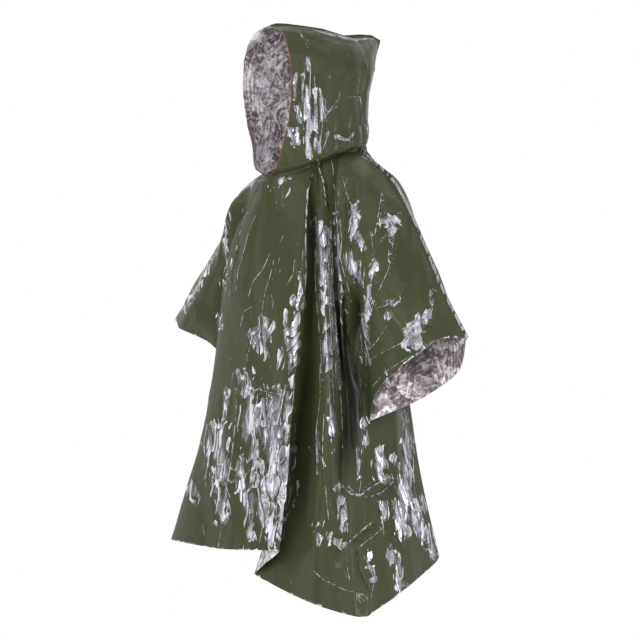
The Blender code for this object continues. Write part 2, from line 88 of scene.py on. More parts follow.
# Fold lines of the two panels, from the right cuff to the left cuff. Columns: name, softness (0 is a
# sharp fold and 1 a round one), where it starts, and x, y, z in mm at each further level of LEVELS. A
# line starts at an angle round the neck, or at a share of the way out along a shoulder seam. The cuff,
# mid and seam lines end on the seams above.
FRONT_FOLDS = (
    ("cuff_right", 1.0, ("right", 1.0), (-400, -66, -368), (-286, -66, -404)),
    ("mid_right", 1.0, ("right", 0.715), (-328, -84, -282), (-252, -90, -348)),
    ("seam_right", 0.9, ("right", 0.404), (-233, -75, -168), (-218, -94, -256)),
    ("arm_right", 0.9, ("right", 0.156), (-180, -80, -80), (-196, -100, -190), (-176, -78, -312),
     (-196, -86, -590), (-284, -104, -868)),
    ("shoulder_right", 0.8, ("neck", -117), (-146, -98, -66), (-174, -110, -184), (-166, -90, -305),
     (-188, -104, -580), (-280, -128, -866)),
    ("valley_right", 0.3, ("neck", -40), (-108, -108, -84), (-145, -108, -185), (-146, -102, -300),
     (-186, -124, -570), (-270, -150, -862)),
    ("ridge_right", 0.4, ("neck", -24), (-86, -130, -84), (-130, -138, -180), (-150, -144, -292),
     (-173, -170, -555), (-248, -214, -847)),
    ("centre", 1.0, ("neck", 3), (-10, -148, -82), (-16, -152, -165), (-18, -162, -270),
     (-24, -192, -530), (-50, -238, -848)),
    ("ridge_left", 0.2, ("neck", 55), (82, -102, -72), (91, -115, -152), (102, -134, -262),
     (129, -191, -540), (136, -237, -836)),
    ("valley_left", 0.2, ("neck", 61), (74, -84, -70), (88, -90, -158), (99, -98, -270),
     (98, -134, -560), (-8, -176, -905)),
    ("ridge_side", 0.8, ("neck", 70), (100, -80, -60), (124, -104, -160), (152, -118, -290),
     (192, -150, -575), (188, -172, -953)),
    ("valley_side", 0.3, ("neck", 80), (112, -50, -58), (136, -70, -170), (152, -66, -305),
     (176, -88, -600), (236, -142, -968)),
    ("ridge_arm", 0.4, ("neck", 90), (136, -66, -62), (168, -94, -178), (174, -92, -308),
     (190, -82, -605), (246, -137, -970)),
    ("shoulder_left", 0.9, ("neck", 117), (166, -54, -68), (192, -90, -190), (184, -76, -314),
     (194, -70, -608), (253, -131, -972)),
    ("arm_left", 0.9, ("left", 0.165), (190, -66, -94), (206, -94, -204), (184, -54, -322),
     (192, -54, -611), (259, -122, -974)),
    ("seam_left", 0.9, ("left", 0.400), (250, -75, -174), (222, -86, -264)),
    ("mid_left", 1.0, ("left", 0.690), (314, -70, -308), (238, -80, -385)),
    ("cuff_left", 1.0, ("left", 1.0), (369, -50, -418), (262, -62, -496)),
)
BACK_FOLDS = (
    ("cuff_right", 1.0, ("right", 1.0), (-406, 34, -396), (-290, 34, -456)),
    ("mid_right", 1.0, ("right", 0.715), (-324, 58, -292), (-254, 58, -372)),
    ("seam_right", 0.9, ("right", 0.404), (-246, 76, -168), (-220, 84, -262)),
    ("arm_right", 0.9, ("right", 0.156), (-182, 88, -72), (-184, 104, -180), (-176, 62, -310),
     (-200, 40, -590), (-262, 30, -866)),
    ("valley_right", 0.4, ("neck", -117), (-118, 104, -40), (-132, 106, -156), (-140, 88, -290),
     (-160, 96, -575), (-196, 130, -860)),
    ("ridge_right", 0.6, ("neck", -140), (-84, 130, -24), (-96, 148, -146), (-108, 150, -275),
     (-122, 166, -565), (-140, 205, -856)),
    ("fold_right", 0.4, ("neck", -158), (-40, 138, -20), (-48, 132, -142), (-56, 132, -270),
     (-62, 142, -560), (-66, 172, -852)),
    ("centre", 0.6, ("neck", -180), (2, 148, -16), (6, 146, -140), (8, 150, -266),
     (10, 172, -558), (14, 208, -850)),
    ("fold_left", 0.4, ("neck", -202), (44, 138, -20), (54, 128, -142), (62, 128, -270),
     (66, 136, -560), (62, 168, -854)),
    ("ridge_left", 0.6, ("neck", -220), (80, 130, -24), (94, 144, -146), (110, 148, -275),
     (124, 164, -570), (122, 212, -862)),
    ("valley_left", 0.4, ("neck", -243), (112, 110, -30), (128, 112, -156), (134, 114, -290),
     (134, 128, -585), (150, 164, -870)),
    ("corner_left", 0.8, ("left", 0.100), (148, 108, -42), (166, 118, -162), (158, 116, -305),
     (160, 150, -600), (198, 194, -876)),
    ("arm_left", 0.9, ("left", 0.185), (198, 90, -74), (208, 104, -184), (182, 66, -322),
     (196, 60, -615), (237, 60, -927)),
    ("seam_left", 0.9, ("left", 0.400), (250, 78, -166), (228, 86, -266)),
    ("mid_left", 1.0, ("left", 0.690), (340, 62, -296), (268, 70, -392)),
    ("cuff_left", 1.0, ("left", 1.0), (400, 38, -452), (298, 42, -514)),
)

# Hood
HOOD_HALF_WIDTH = 103 * MM
HOOD_TOP_ROUNDING = 115 * MM  # how far below the top seam the hood reaches its full width
HOOD_BACK_ROUNDING = 170 * MM  # how far in front of the back seam it does
NECK_LAP_GAP = 1.0 * MM
LAP_HEIGHTS = (0.5 * MM, COLLAR_HEIGHT + 2 * MM)  # the hood's lower edge, and where it leaves the collar
BLOUSE = 10 * MM  # how far the hood bags out over the neck seam
GATHERS = 7  # gathers round each half of the neck
GATHER_DEPTH = 3 * MM
FACE_SHARE = 0.35  # share of the hood's depth over which it takes the face opening's width
LAP_SHARE = 0.12  # shares of its height over which it leaves the neck, bags out and is gathered
BLOUSE_SHARE = 0.24
GATHER_SHARE = 0.4
HOOD_DEPTH = 0.345  # metres along the cloth from the face opening to the back seam
HOOD_HEIGHT = 0.36  # and from the neck to the top seam
FIN_TAPER = 25 * MM  # length over which the flange over the head rises from the face opening

# Edge of the face opening from the throat to the top. Columns: y, z and half-width in mm.
FACE_EDGE = (
    (-143, -31, 1), (-145, -28, 18), (-147, -20, 30), (-146, 14, 42), (-144, 46, 52), (-144, 82, 66),
    (-145, 130, 75), (-146, 180, 78), (-148, 228, 73), (-147, 260, 62), (-144, 284, 44), (-140, 298, 1),
)
# Centre seam over the head and down the back, which meet in a square corner. Columns: y, z in mm.
TOP_SEAM = ((-140, 298), (-90, 302), (-43, 303), (22, 303), (90, 295), (145, 303), (180, 305), (203, 298))
BACK_SEAM = ((141, 50), (148, 74), (155, 110), (161, 171), (184, 245), (203, 298))

# The three-quarter view from the wearer's left front
VIEW_ANGLE = np.radians(46)  # round from the front
VIEW_DISTANCE = 4.2
VIEW_HEIGHT = -0.349
VIEW_OFFSET = 0.011  # how far the view's axis passes to the right of the neck
VIEW_WIDTH = 1.44  # what the view takes in at the neck

# Creases and patches. Lengths that are compared with their tables are in mm.
CREASE_REACH = 9  # mm from a crease at which its mark ends
CREASE_WIDTH = 4  # mm, the half-width that the marks of all creases are scaled to
CREASE_END = 1.6  # how soon a crease's mark reaches its full strength from the ends
PATCH_EDGE = (0.8, 1.2)  # half-widths from a patch's middle line over which its turn ends
CRUMPLE_REACH = 2  # half-widths from it at which its crumpling ends
CRUMPLED = (0.3, 0.6)  # how crumpled film is when its mesh starts to fold in facets, and folds fully
FACET_BEND = 0.45  # how far the facets' edges bend, in facets
FACET_BEND_LENGTH = 0.7  # bends for each facet
FACET_SKEW = (0.3, -0.2)
EDGE_CRUMPLE = 0.62  # how crumpled the film is along the hem and the cuffs, which also paints a pale highlight there
FACING = (0.05, 0.3)  # how squarely cloth faces the three-quarter view, to be marked and marked fully
HIDDEN_FACING = (0.45, 0.7)  # and on the other sides
SLACK_FACETS = (0.075, 0.16)  # metres across and down of the facets of slack film
SLACK_DEPTH = 2.2 * MM
CRUSHED_FACETS = (0.022, 0.034)  # and of those where it is crumpled
CRUSHED_DEPTH = 1.6 * MM

# The sides that the three-quarter view doesn't show have creases of the same kind. Columns: degrees
# round from the view, 1 or -1 for mirrored, and how far the creases are raised in mm.
HIDDEN_SIDES = ((180, -1, 22), (90, 1, -35), (-90, -1, 40))

# Studio
FLOOR_Z = -1.47
FLOOR_RADIUS = 2.2
SOFT_LIGHT = 0.94  # strength of the light from all round
GLOSS_LIGHT = (0.05, 1.1)  # strength of the dark and light parts of the room that shows in the gloss
LAMP_COLOUR = (0.94, 0.94, 1.0)

# Softboxes. Columns: name, degrees to the right of the view, degrees up, distance, width and height
# in metres, brightness, and whether it shows in the gloss.
SOFTBOXES = (
    ("left", -36, 8, 3.4, 0.16, 1.2, 5),
    ("front_right", 33, 6, 3.6, 0.4, 1.2, 4),
    ("right", 114, 6, 3.4, 0.35, 1.2, 2.4),
    ("right_wide", 116, 6, 3.6, 1.2, 2.0, 0.4),
    ("top", -60, 60, 3.0, 0.5, 0.5, 2, False),
    ("back_right", 165, 35, 3.4, 0.5, 0.9, 2.5),
    ("back_left", -150, 35, 3.4, 0.5, 0.9, 5),
    ("fill", -8, 8, 3.6, 1.4, 1.4, 9.0, False),
    ("back_fill", 172, 8, 3.6, 1.4, 1.4, 9.0, False),
)


# Curves

def unit(vectors):
    return vectors / np.maximum(np.linalg.norm(vectors, axis=-1, keepdims=True), 1e-12)


def smooth_curve(knots, values, at, soft=1.0):
    """Points at positions `at` on a curve that passes through values at knots."""
    knots = np.asarray(knots, float)
    values = np.asarray(values, float)
    at = np.asarray(at, float)
    slopes = np.gradient(values, knots, axis=0) * np.broadcast_to(soft, knots.shape)[:, None]
    i = np.clip(np.searchsorted(knots, at, side="right") - 1, 0, len(knots) - 2)
    step = (knots[i + 1] - knots[i])[:, None]
    t = (at - knots[i])[:, None] / step
    start = (1 + 2 * t) * (1 - t) ** 2 * values[i] + t * (1 - t) ** 2 * step * slopes[i]
    end = t**2 * (3 - 2 * t) * values[i + 1] - t**2 * (1 - t) * step * slopes[i + 1]
    return start + end


def chord_lengths(points):
    """Distance along a chain of points up to each of them."""
    steps = np.linalg.norm(np.diff(points, axis=0), axis=1)
    return np.concatenate(([0.0], np.cumsum(steps)))


def smoothstep(value, low, high):
    """0 below low and 1 above high, with a smooth rise between."""
    t = np.clip((value - low) / (high - low), 0, 1)
    return t * t * (3 - 2 * t)


def neck_point(degrees):
    """Point on the neck seam; 0 is the throat, 90 the left side and 180 the nape."""
    a = np.radians(degrees)
    rise = NECK_SIDE_Z - NECK_FRONT_Z if np.cos(a) > 0 else NECK_BACK_Z - NECK_SIDE_Z
    z = NECK_SIDE_Z - rise * np.cos(a)
    return np.array([NECK_HALF_WIDTH * np.sin(a), -NECK_HALF_DEPTH * np.cos(a), z])


def neck_normal(point):
    """Level direction straight out of the neck at a point on its seam."""
    return unit(np.array([point[0] / NECK_HALF_WIDTH**2, point[1] / NECK_HALF_DEPTH**2, 0.0]))


# Creases

def smooth_noise(x, y, seed):
    """Smooth random height, -1 to 1, with one bump for each unit of x and y."""
    table = np.random.default_rng(seed).uniform(-1, 1, (64, 64))
    i, j = np.floor(x).astype(int), np.floor(y).astype(int)
    fx, fy = x - i, y - j
    fx, fy = fx * fx * (3 - 2 * fx), fy * fy * (3 - 2 * fy)
    low = table[i % 64, j % 64] * (1 - fx) + table[(i + 1) % 64, j % 64] * fx
    high = table[i % 64, (j + 1) % 64] * (1 - fx) + table[(i + 1) % 64, (j + 1) % 64] * fx
    return low * (1 - fy) + high * fy


def facets(x, y, seed):
    """Height of flat facets that meet in sharp creases, -1 to 1, about one unit across."""
    table = np.random.default_rng(seed).uniform(-1, 1, (64, 64))
    bent = x * FACET_BEND_LENGTH, y * FACET_BEND_LENGTH
    x = x + FACET_BEND * smooth_noise(*bent, seed + 1)
    y = y + FACET_BEND * smooth_noise(*bent, seed + 2)
    x, y = x + FACET_SKEW[0] * y, y + FACET_SKEW[1] * x
    i, j = np.floor(x).astype(int), np.floor(y).astype(int)
    fx, fy = x - i, y - j
    near, far = table[i % 64, j % 64], table[(i + 1) % 64, (j + 1) % 64]
    lower = near * (1 - fx) + table[(i + 1) % 64, j % 64] * (fx - fy) + far * fy
    upper = near * (1 - fy) + table[i % 64, (j + 1) % 64] * (fy - fx) + far * fx
    return np.where(fx > fy, lower, upper)


def level_direction(angle):
    """Level direction out of the poncho, at an angle round from the front towards the left side."""
    return np.array([np.sin(angle), -np.cos(angle), 0.0])


def seen_from(angle, points):
    """Where points appear in a level view: mm across and mm high, in the plane of the neck."""
    across = points @ level_direction(angle + np.pi / 2) - VIEW_OFFSET
    shrink = VIEW_DISTANCE / (VIEW_DISTANCE - points @ level_direction(angle))
    height = points[:, 2] - VIEW_HEIGHT
    return (across * shrink + VIEW_OFFSET) / MM, (height * shrink + VIEW_HEIGHT) / MM


class Side:
    """One side of the cloth, with the marks that are pressed into it.

    Marks: how crumpled the film is, which also sets its painted sheen; how far right of the nearest
    crease each point is, in mm for a crease of CREASE_WIDTH; how near to it, 0 at CREASE_REACH and 1 on a
    ridge or -1 on a trough, where painted highlight and shade lines go; and how deep in a fold, 0 to 1,
    for painted shade.
    """

    def __init__(self, points, normals):
        self.points = points
        self.normals = normals
        self.relief = np.zeros(len(points))
        self.crumple = np.zeros(len(points))
        self.crease = np.full(len(points), float(CREASE_REACH))
        self.near_crease = np.zeros(len(points))
        self.hollow = np.zeros(len(points))

    def look_from(self, angle, mirror, raised, least, full):
        """Takes the view from an angle. Cloth that faces it by more than least is marked, and fully
        by more than full."""
        self.across, self.height = seen_from(angle, self.points)
        self.across = self.across * mirror
        self.height = self.height - raised
        self.facing = smoothstep(self.normals @ level_direction(angle), least, full)

    def near_line(self, line, reach):
        """The facing points within reach of a line: which they are, how far to the right of it and
        how far from it they are, and their share of the way along it."""
        line = np.asarray(line, float)
        low, high = line.min(axis=0) - reach, line.max(axis=0) + reach
        inside = (self.across > low[0]) & (self.across < high[0]) & (self.facing > 0)
        near = np.flatnonzero(inside & (self.height > low[1]) & (self.height < high[1]))
        across, height = self.across[near], self.height[near]
        lengths = chord_lengths(line)
        away = np.full(len(near), np.inf)
        right = np.zeros(len(near))
        share = np.zeros(len(near))
        for start, end, before, after in zip(line[:-1], line[1:], lengths[:-1], lengths[1:]):
            step = end - start
            along = ((across - start[0]) * step[0] + (height - start[1]) * step[1]) / (step @ step)
            along = np.clip(along, 0, 1)
            gap = across - start[0] - along * step[0], height - start[1] - along * step[1]
            distance = np.hypot(*gap)
            closer = distance < away
            away[closer] = distance[closer]
            right[closer] = np.where(step[0] * gap[1] - step[1] * gap[0] > 0, -distance, distance)[closer]
            share[closer] = (before + along[closer] * (after - before)) / lengths[-1]
        return near, right, away, share

    def press_creases(self, creases):
        """Adds each crease, a sharp ridge that fades at its ends."""
        for half_width, height, *line in creases:
            near, right, away, share = self.near_line(line, max(4 * half_width, CREASE_REACH))
            fade = np.clip(np.sin(np.pi * share), 0, 1) ** 0.5 * self.facing[near]
            self.relief[near] += height * MM * fade * np.exp(-away / half_width)
            closeness = np.clip(1 - away / CREASE_REACH, 0, 1) * np.clip(CREASE_END * fade, 0, 1)
            closer = closeness > np.abs(self.near_crease[near])
            self.near_crease[near[closer]] = closeness[closer] * np.sign(height)
            self.crease[near[closer]] = right[closer] * CREASE_WIDTH / half_width

    def press_patches(self, patches):
        """Turns each patch about its middle line and crumples it, which also gives it a painted
        highlight.
        """
        for half_width, strength, turn, *line in patches:
            near, right, away, _ = self.near_line(line, CRUMPLE_REACH * half_width)
            cover = (1 - smoothstep(away / half_width, *PATCH_EDGE)) * self.facing[near]
            self.relief[near] -= cover * right * np.tan(np.radians(turn)) * MM
            cone = np.clip(1 - away / half_width / CRUMPLE_REACH, 0, 1) * self.facing[near]
            self.crumple[near] = np.maximum(self.crumple[near], cone * strength)

    def mark_edge(self, edge):
        """Gives points on an edge or seam a painted highlight line."""
        self.near_crease[edge] = 1
        self.crease[edge] = 0

    def paint_fold_shade(self, shaded_folds):
        """Marks each deep fold, which little light reaches, for painted shade."""
        for half_width, strength, *line in shaded_folds:
            near, _, away, share = self.near_line(line, half_width)
            fade = smoothstep(np.sin(np.pi * share), 0, 0.8) * self.facing[near] * strength
            depth = smoothstep(1 - away / half_width, 0, 0.6) * fade
            self.hollow[near] = np.maximum(self.hollow[near], depth)


# Cloth

def split_quads(points, quads):
    """Two triangles for each quad, cut along its shorter diagonal."""
    a, b, c, d = (points[quads[:, k]] for k in range(4))
    along_ac = np.linalg.norm(a - c, axis=1) <= np.linalg.norm(b - d, axis=1)
    pick = np.where(along_ac[:, None], quads[:, (0, 1, 2, 0, 2, 3)], quads[:, (0, 1, 3, 1, 2, 3)])
    return pick.reshape(-1, 3)


def sheet_normals(points, triangles):
    """Normal of the sheet at each point, and how much its faces lean from that."""
    corners = points[triangles]
    faces = unit(np.cross(corners[:, 1] - corners[:, 0], corners[:, 2] - corners[:, 0]))
    normals = np.zeros_like(points)
    for k in range(3):
        one = unit(corners[:, (k + 1) % 3] - corners[:, k])
        other = unit(corners[:, (k + 2) % 3] - corners[:, k])
        angle = np.arccos(np.clip(np.sum(one * other, axis=1), -1, 1))
        np.add.at(normals, triangles[:, k], faces * angle[:, None])
    normals = unit(normals)
    lean = np.ones(len(points))
    for k in range(3):
        np.minimum.at(lean, triangles[:, k], np.sum(normals[triangles[:, k]] * faces, axis=1))
    return normals, lean


def sheet_offsets(points, triangles):
    """Half the film at each point, square to the sheet and lengthened a little where it turns sharply."""
    normals, lean = sheet_normals(points, triangles)
    return normals * (FILM / 2) / np.clip(lean, SHARPEST_LEAN, 1)[:, None]


def out_of_seam(points, outward):
    """Directions along a seam, and out of the garment square to it."""
    along = unit(np.gradient(points, axis=0))
    out = np.broadcast_to(np.asarray(outward, float), along.shape)
    return along, unit(out - np.sum(out * along, axis=1, keepdims=True) * along)


def square_flange(offsets, tips, feet, square):
    """Keeps the film of a flange, and at its foot, square to the seam."""
    offsets[tips] = square * FILM / 2
    foot = unit(offsets[feet])
    lean = np.sum(foot * unit(square), axis=1, keepdims=True)
    offsets[feet] = foot * FILM / 2 / np.clip(lean, FOOT_LEAN, 1)


def grid_quads(index):
    """Quads between the filled places of an index grid."""
    a, b = index[:-1, :-1].ravel(), index[:-1, 1:].ravel()
    c, d = index[1:, 1:].ravel(), index[1:, :-1].ravel()
    quads = np.stack([a, d, c, b], axis=1)
    return quads[(quads >= 0).all(axis=1)]


def rim_edges(triangles):
    """Directed edges that belong to one triangle only."""
    edges = {(tri[k], tri[(k + 1) % 3]) for tri in triangles.tolist() for k in range(3)}
    return [edge for edge in edges if (edge[1], edge[0]) not in edges]


def film_object(name, points, offsets, triangles, marks, materials):
    """Closed shell of film: the outer sheet, the lining and the cut edge between them."""
    count = len(points)
    faces = [tuple(tri) for tri in triangles.tolist()]
    faces += [tuple(count + v for v in reversed(tri)) for tri in triangles.tolist()]
    faces += [(b, a, count + a, count + b) for a, b in sorted(rim_edges(triangles))]
    mesh = bpy.data.meshes.new(name)
    mesh.from_pydata(np.concatenate([points + offsets, points - offsets]).tolist(), [], faces)
    for material in materials:
        mesh.materials.append(material)
    slots = np.zeros(len(faces), int)
    slots[len(triangles) : 2 * len(triangles)] = 1
    slots[2 * len(triangles) :] = 2
    mesh.polygons.foreach_set("material_index", slots)
    for title, values in marks.items():
        mesh.attributes.new(title, "FLOAT", "POINT").data.foreach_set("value", values)
    mesh.shade_smooth()
    mesh.set_sharp_from_angle(angle=SHARP_ANGLE)
    obj = bpy.data.objects.new(name, mesh)
    bpy.context.scene.collection.objects.link(obj)
    return obj


# Panels

def fold_start(start):
    kind, value = start
    if kind == "neck":
        return neck_point(value)
    neck_end = neck_point(SHOULDER_ANGLE if kind == "left" else -SHOULDER_ANGLE)
    seam = np.vstack([neck_end, np.array(SHOULDER_SEAMS[kind], float) * MM])
    lengths = chord_lengths(seam)
    return smooth_curve(lengths, seam, [value * lengths[-1]])[0]


def side_seam(side, downs):
    return smooth_curve(SIDE_LEVELS, np.array(SIDE_SEAMS[side], float) * MM, downs)


def sleeve_seam(side, inner_steps, outer_steps):
    """Points under a sleeve, from the armpit to the cuff, with its middle point on the mid line."""
    points = np.array(SLEEVE_SEAMS[side], float) * MM
    lines = (0, inner_steps, inner_steps + outer_steps)
    return smooth_curve(range(3), points, np.interp(np.arange(lines[-1] + 1), lines, range(3)))


def fold_positions(fold, downs, crown):
    """Where a fold line is at each distance down the cloth; nan below the end of a sleeve line."""
    name, _, start, *points = fold
    line, side = name.split("_")[0], name.split("_")[-1]
    places = np.full((len(downs), 3), np.nan)
    values = np.vstack([fold_start(start), np.array(points, float) * MM])
    if line in ("cuff", "mid", "seam"):
        end = {"seam": 0, "mid": 1, "cuff": 2}[line]
        values = np.vstack([values, np.array(SLEEVE_SEAMS[side][end], float) * MM])
    above = downs <= LEVELS[len(values) - 1] + 1e-9
    places[above] = smooth_curve(LEVELS[: len(values)], values, downs[above])
    if line == "seam":
        places[~above] = side_seam(side, downs[~above])
    places[:, 2] += crown * np.sin(np.pi * np.clip(downs / LEVELS[1], 0, 1))
    return places


def across_folds(row, softness, steps):
    """Points across the fold lines of one row, with that many steps from each line to the next."""
    lengths = np.linalg.norm(np.diff(row, axis=0), axis=1)
    knots = np.concatenate(([0.0], np.cumsum(lengths**0.7)))
    lines = np.concatenate(([0], np.cumsum(steps)))
    at = np.interp(np.arange(lines[-1] + 1), lines, knots)
    return smooth_curve(knots, row, at, softness)


def start_between(left, right, share):
    """Point on the top edge between the starts of two neighbouring fold lines."""
    kinds = (left[0], right[0])
    if kinds[0] == kinds[1]:
        return fold_start((kinds[0], left[1] + (right[1] - left[1]) * share))
    if kinds[0] == "neck":
        return fold_start((kinds[1], right[1] * share))
    return fold_start((kinds[0], left[1] * (1 - share)))


def top_edge(folds, steps):
    """Top edge of a panel: in along the right shoulder seam, round the neck, out along the left."""
    points = []
    for fold, following, count in zip(folds[:-1], folds[1:], steps):
        points += [start_between(fold[2], following[2], share) for share in np.arange(count) / count]
    return np.array(points + [fold_start(folds[-1][2])])


def seam_frame(points, outward, facing):
    """Directions along a seam: out of the garment in the seam's plane, and square to that plane."""
    along, out = out_of_seam(points, outward)
    square = unit(np.cross(along, out))
    return out, square * np.sign(square[:, 1:2]) * facing


class Panel:
    """Points of a front or back panel. facing is -1 for the front and 1 for the back."""

    def __init__(self, folds, facing, crown):
        self.folds = folds
        self.facing = facing
        self.names = [fold[0] for fold in folds]
        rows_above = round(UNDERARM * PANEL_LENGTH / PANEL_GRID)
        rows_below = round((1 - UNDERARM) * PANEL_LENGTH / PANEL_GRID)
        self.underarm_row = rows_above
        sleeve = np.linspace(0, UNDERARM, rows_above + 1)
        self.downs = np.concatenate([sleeve, np.linspace(UNDERARM, 1, rows_below + 1)[1:]])
        self.places = np.stack([fold_positions(fold, self.downs, crown) for fold in folds], axis=1)
        apart = np.nanmean(np.linalg.norm(np.diff(self.places, axis=1), axis=2), axis=0)
        self.steps = np.maximum(2, np.round(apart / PANEL_GRID)).astype(int)
        self.lines = np.concatenate(([0], np.cumsum(self.steps)))
        self.width = self.lines[-1] + 1
        self.right = self.lines[self.names.index("seam_right")]
        self.left = self.lines[self.names.index("seam_left")]
        on_neck = [line for line, fold in zip(self.lines, folds) if fold[2][0] == "neck"]
        self.neck_start, self.neck_end = on_neck[0], on_neck[-1]
        self.rows = self.place_rows()
        self.number_points()
        quads = grid_quads(self.index)
        self.triangles = split_quads(self.points, quads if facing < 0 else quads[:, ::-1])
        self.normals = sheet_normals(self.points, self.triangles)[0]

    def place_rows(self):
        """Rows of points down the panel, with its edges set exactly on the shared seams."""
        softness = np.array([fold[1] for fold in self.folds])
        body = slice(self.names.index("seam_right"), self.names.index("seam_left") + 1)
        body_steps = self.steps[body.start : body.stop - 1]
        sleeves, below = np.split(self.places, [self.underarm_row + 1])
        rows = [across_folds(row, softness, self.steps) for row in sleeves]
        rows += [across_folds(row[body], softness[body], body_steps) for row in below]
        rows[0] = top_edge(self.folds, self.steps)
        under = rows[self.underarm_row]
        under[: self.right + 1] = sleeve_seam("right", self.steps[1], self.steps[0])[::-1]
        under[self.left :] = sleeve_seam("left", self.steps[-2], self.steps[-1])
        return rows

    def number_points(self):
        """Index grid of the panel: the collar and shoulder flange, the sleeve rows, the body rows."""
        filled = np.ones((len(self.rows) + 1, self.width), bool)
        filled[self.underarm_row + 2 :, : self.right] = False
        filled[self.underarm_row + 2 :, self.left + 1 :] = False
        self.index = np.where(filled, np.cumsum(filled).reshape(filled.shape) - 1, -1)
        self.points = np.concatenate([self.rows[0], *self.rows])

    def cloth_places(self):
        """Place of each point on the flat cloth: metres across from the middle and metres down."""
        middle = self.lines[self.names.index("centre")]
        across = np.zeros(len(self.points))
        down = np.zeros(len(self.points))
        for row, numbers, share in zip(self.rows, self.index[1:], self.downs):
            filled = numbers[numbers >= 0]
            lengths = chord_lengths(row)
            across[filled] = lengths - lengths[numbers[middle] - filled[0]]
            down[filled] = share * PANEL_LENGTH
        across[self.index[0]] = across[self.index[1]]
        return across, down

    def seam_distance(self):
        """Roughly how far each point is from the nearest seam, in metres along the cloth."""
        armpit = self.underarm_row + 1
        steps = np.full(self.index.shape, self.index.size)
        steps[:2] = 0
        steps[armpit, : self.right + 1] = 0
        steps[armpit, self.left :] = 0
        steps[armpit:, [self.right, self.left]] = 0
        for _ in range(SEAM_REACH):
            for grid in (steps, steps.T):
                grid[1:] = np.minimum(grid[1:], grid[:-1] + 1)
                grid[:-1] = np.minimum(grid[:-1], grid[1:] + 1)
        distance = np.zeros(len(self.points))
        filled = self.index >= 0
        distance[self.index[filled]] = steps[filled] * PANEL_GRID
        return distance

    def press(self, relief):
        """Moves the points out by the relief, away from the seams."""
        clear = smoothstep(self.seam_distance(), 0, SEAM_REACH * PANEL_GRID)
        self.points += self.normals * (relief * clear)[:, None]

    def fit_seams(self):
        """Sets the panel back from each seam by its half of the gap and raises the collar and flange."""
        square = self.fit_top()
        armpit = self.underarm_row + 1
        offsets = sheet_offsets(self.points, self.triangles)
        self.set_back(self.index[armpit, self.right :: -1], (-1, 0, 0), offsets)
        self.set_back(self.index[armpit, self.left :], (1, 0, 0), offsets)
        self.set_back(self.index[armpit + 1 :, self.right], (-1, 0, 0), offsets)
        self.set_back(self.index[armpit + 1 :, self.left], (1, 0, 0), offsets)
        self.offsets = sheet_offsets(self.points, self.triangles)
        square_flange(self.offsets, self.index[0], self.index[1], square)
        corners = [self.neck_start, self.neck_end]
        self.offsets[self.index[1, corners]] = square[corners] * FILM / 2

    def set_back(self, line, outward, offsets):
        """Moves a line of points off the seam's plane, so that the film's corner keeps half the gap."""
        _, square = seam_frame(self.points[line], outward, self.facing)
        reach = np.abs(np.sum(offsets[line] * square, axis=1, keepdims=True))
        self.points[line] += square * (SEAM_GAP / 2 + reach)

    def fit_top(self):
        """Raises the flange along the shoulders and the collar round the neck."""
        base, tip = self.index[1], self.index[0]
        out = np.zeros((self.width, 3))
        square = np.zeros((self.width, 3))
        right, left = slice(0, self.neck_start + 1), slice(self.neck_end, self.width)
        for columns, outward in ((right, (-1, 0, 1)), (left, (1, 0, 1))):
            out[columns], square[columns] = seam_frame(self.points[base[columns]], outward, self.facing)
        self.points[base] += square * (SEAM_GAP / 2 + FILM / 2)
        neck = slice(self.neck_start, self.neck_end + 1)
        out[neck] = (0, 0, 1)
        height = np.full((self.width, 1), SEAM_FIN)
        height[neck] = COLLAR_HEIGHT
        self.points[tip] = self.points[base] + out * height
        for column in range(self.neck_start + 1, self.neck_end):
            square[column] = neck_normal(self.points[base[column]])
        square[self.neck_start, 0] -= 1
        square[self.neck_end, 0] += 1
        return square


# Hood

def rounding(share):
    """Half-width of a round form at a share of the way in from its edge."""
    inward = 1 - np.clip(share, 0, 1)
    return np.sqrt(1 - inward**2)


def fading(share, reach):
    """1 at the start, falling smoothly to 0 at reach."""
    return np.clip(1 - share / reach, 0, 1) ** 2


def lap_point(u, height):
    """Point of the hood's lower edge, which stands inside the collar."""
    ring = neck_point(180 * u)
    return ring - neck_normal(ring) * (FILM + NECK_LAP_GAP) + np.array([0, 0, height])


def hood_point(u, v):
    """Point of the left half; u runs from the face opening to the back seam, v from neck to top."""
    face = np.array(FACE_EDGE, float) * MM
    back = np.array(BACK_SEAM, float) * MM
    top = np.array(TOP_SEAM, float) * MM
    knots = chord_lengths(face)
    heights = back[:, 1] - back[0, 1]
    face_y, face_z, face_x = (np.interp(v * knots[-1], knots, face[:, i]) for i in range(3))
    back_y, back_z = (np.interp(v * heights[-1], heights, back[:, i]) for i in range(2))

    y = face_y + (back_y - face_y) * u
    level_z = face_z + (back_z - face_z) * u
    straight_top = top[0, 1] + (top[-1, 1] - top[0, 1]) * u
    top_z = np.interp(y, top[:, 0], top[:, 1])
    z = level_z + (top_z - straight_top) * v**3

    from_back = np.clip((back_y - y) / HOOD_BACK_ROUNDING, 0, 1)
    taper = (rounding(from_back) + np.sin(from_back * np.pi / 2)) / 2
    x = HOOD_HALF_WIDTH * rounding((top_z - z) / HOOD_TOP_ROUNDING) * taper
    near_face = fading(u, FACE_SHARE)
    x = x * (1 - near_face) + face_x * near_face

    lift = level_z - (face[0, 1] + (back[0, 1] - face[0, 1]) * u)
    lap = lap_point(u, LAP_HEIGHTS[-1] + lift)
    near_lap = fading(v, LAP_SHARE)
    point = np.array([x, y, z]) * (1 - near_lap) + lap * near_lap
    bag = BLOUSE * np.sin(np.pi * min(v / BLOUSE_SHARE, 1)) * np.sin(np.pi * min(u, 1)) ** 0.6
    wave = GATHER_DEPTH * np.sin(2 * np.pi * GATHERS * u) * max(1 - v / GATHER_SHARE, 0)
    return point + neck_normal(neck_point(180 * u)) * (bag + wave * np.sin(np.pi * u))


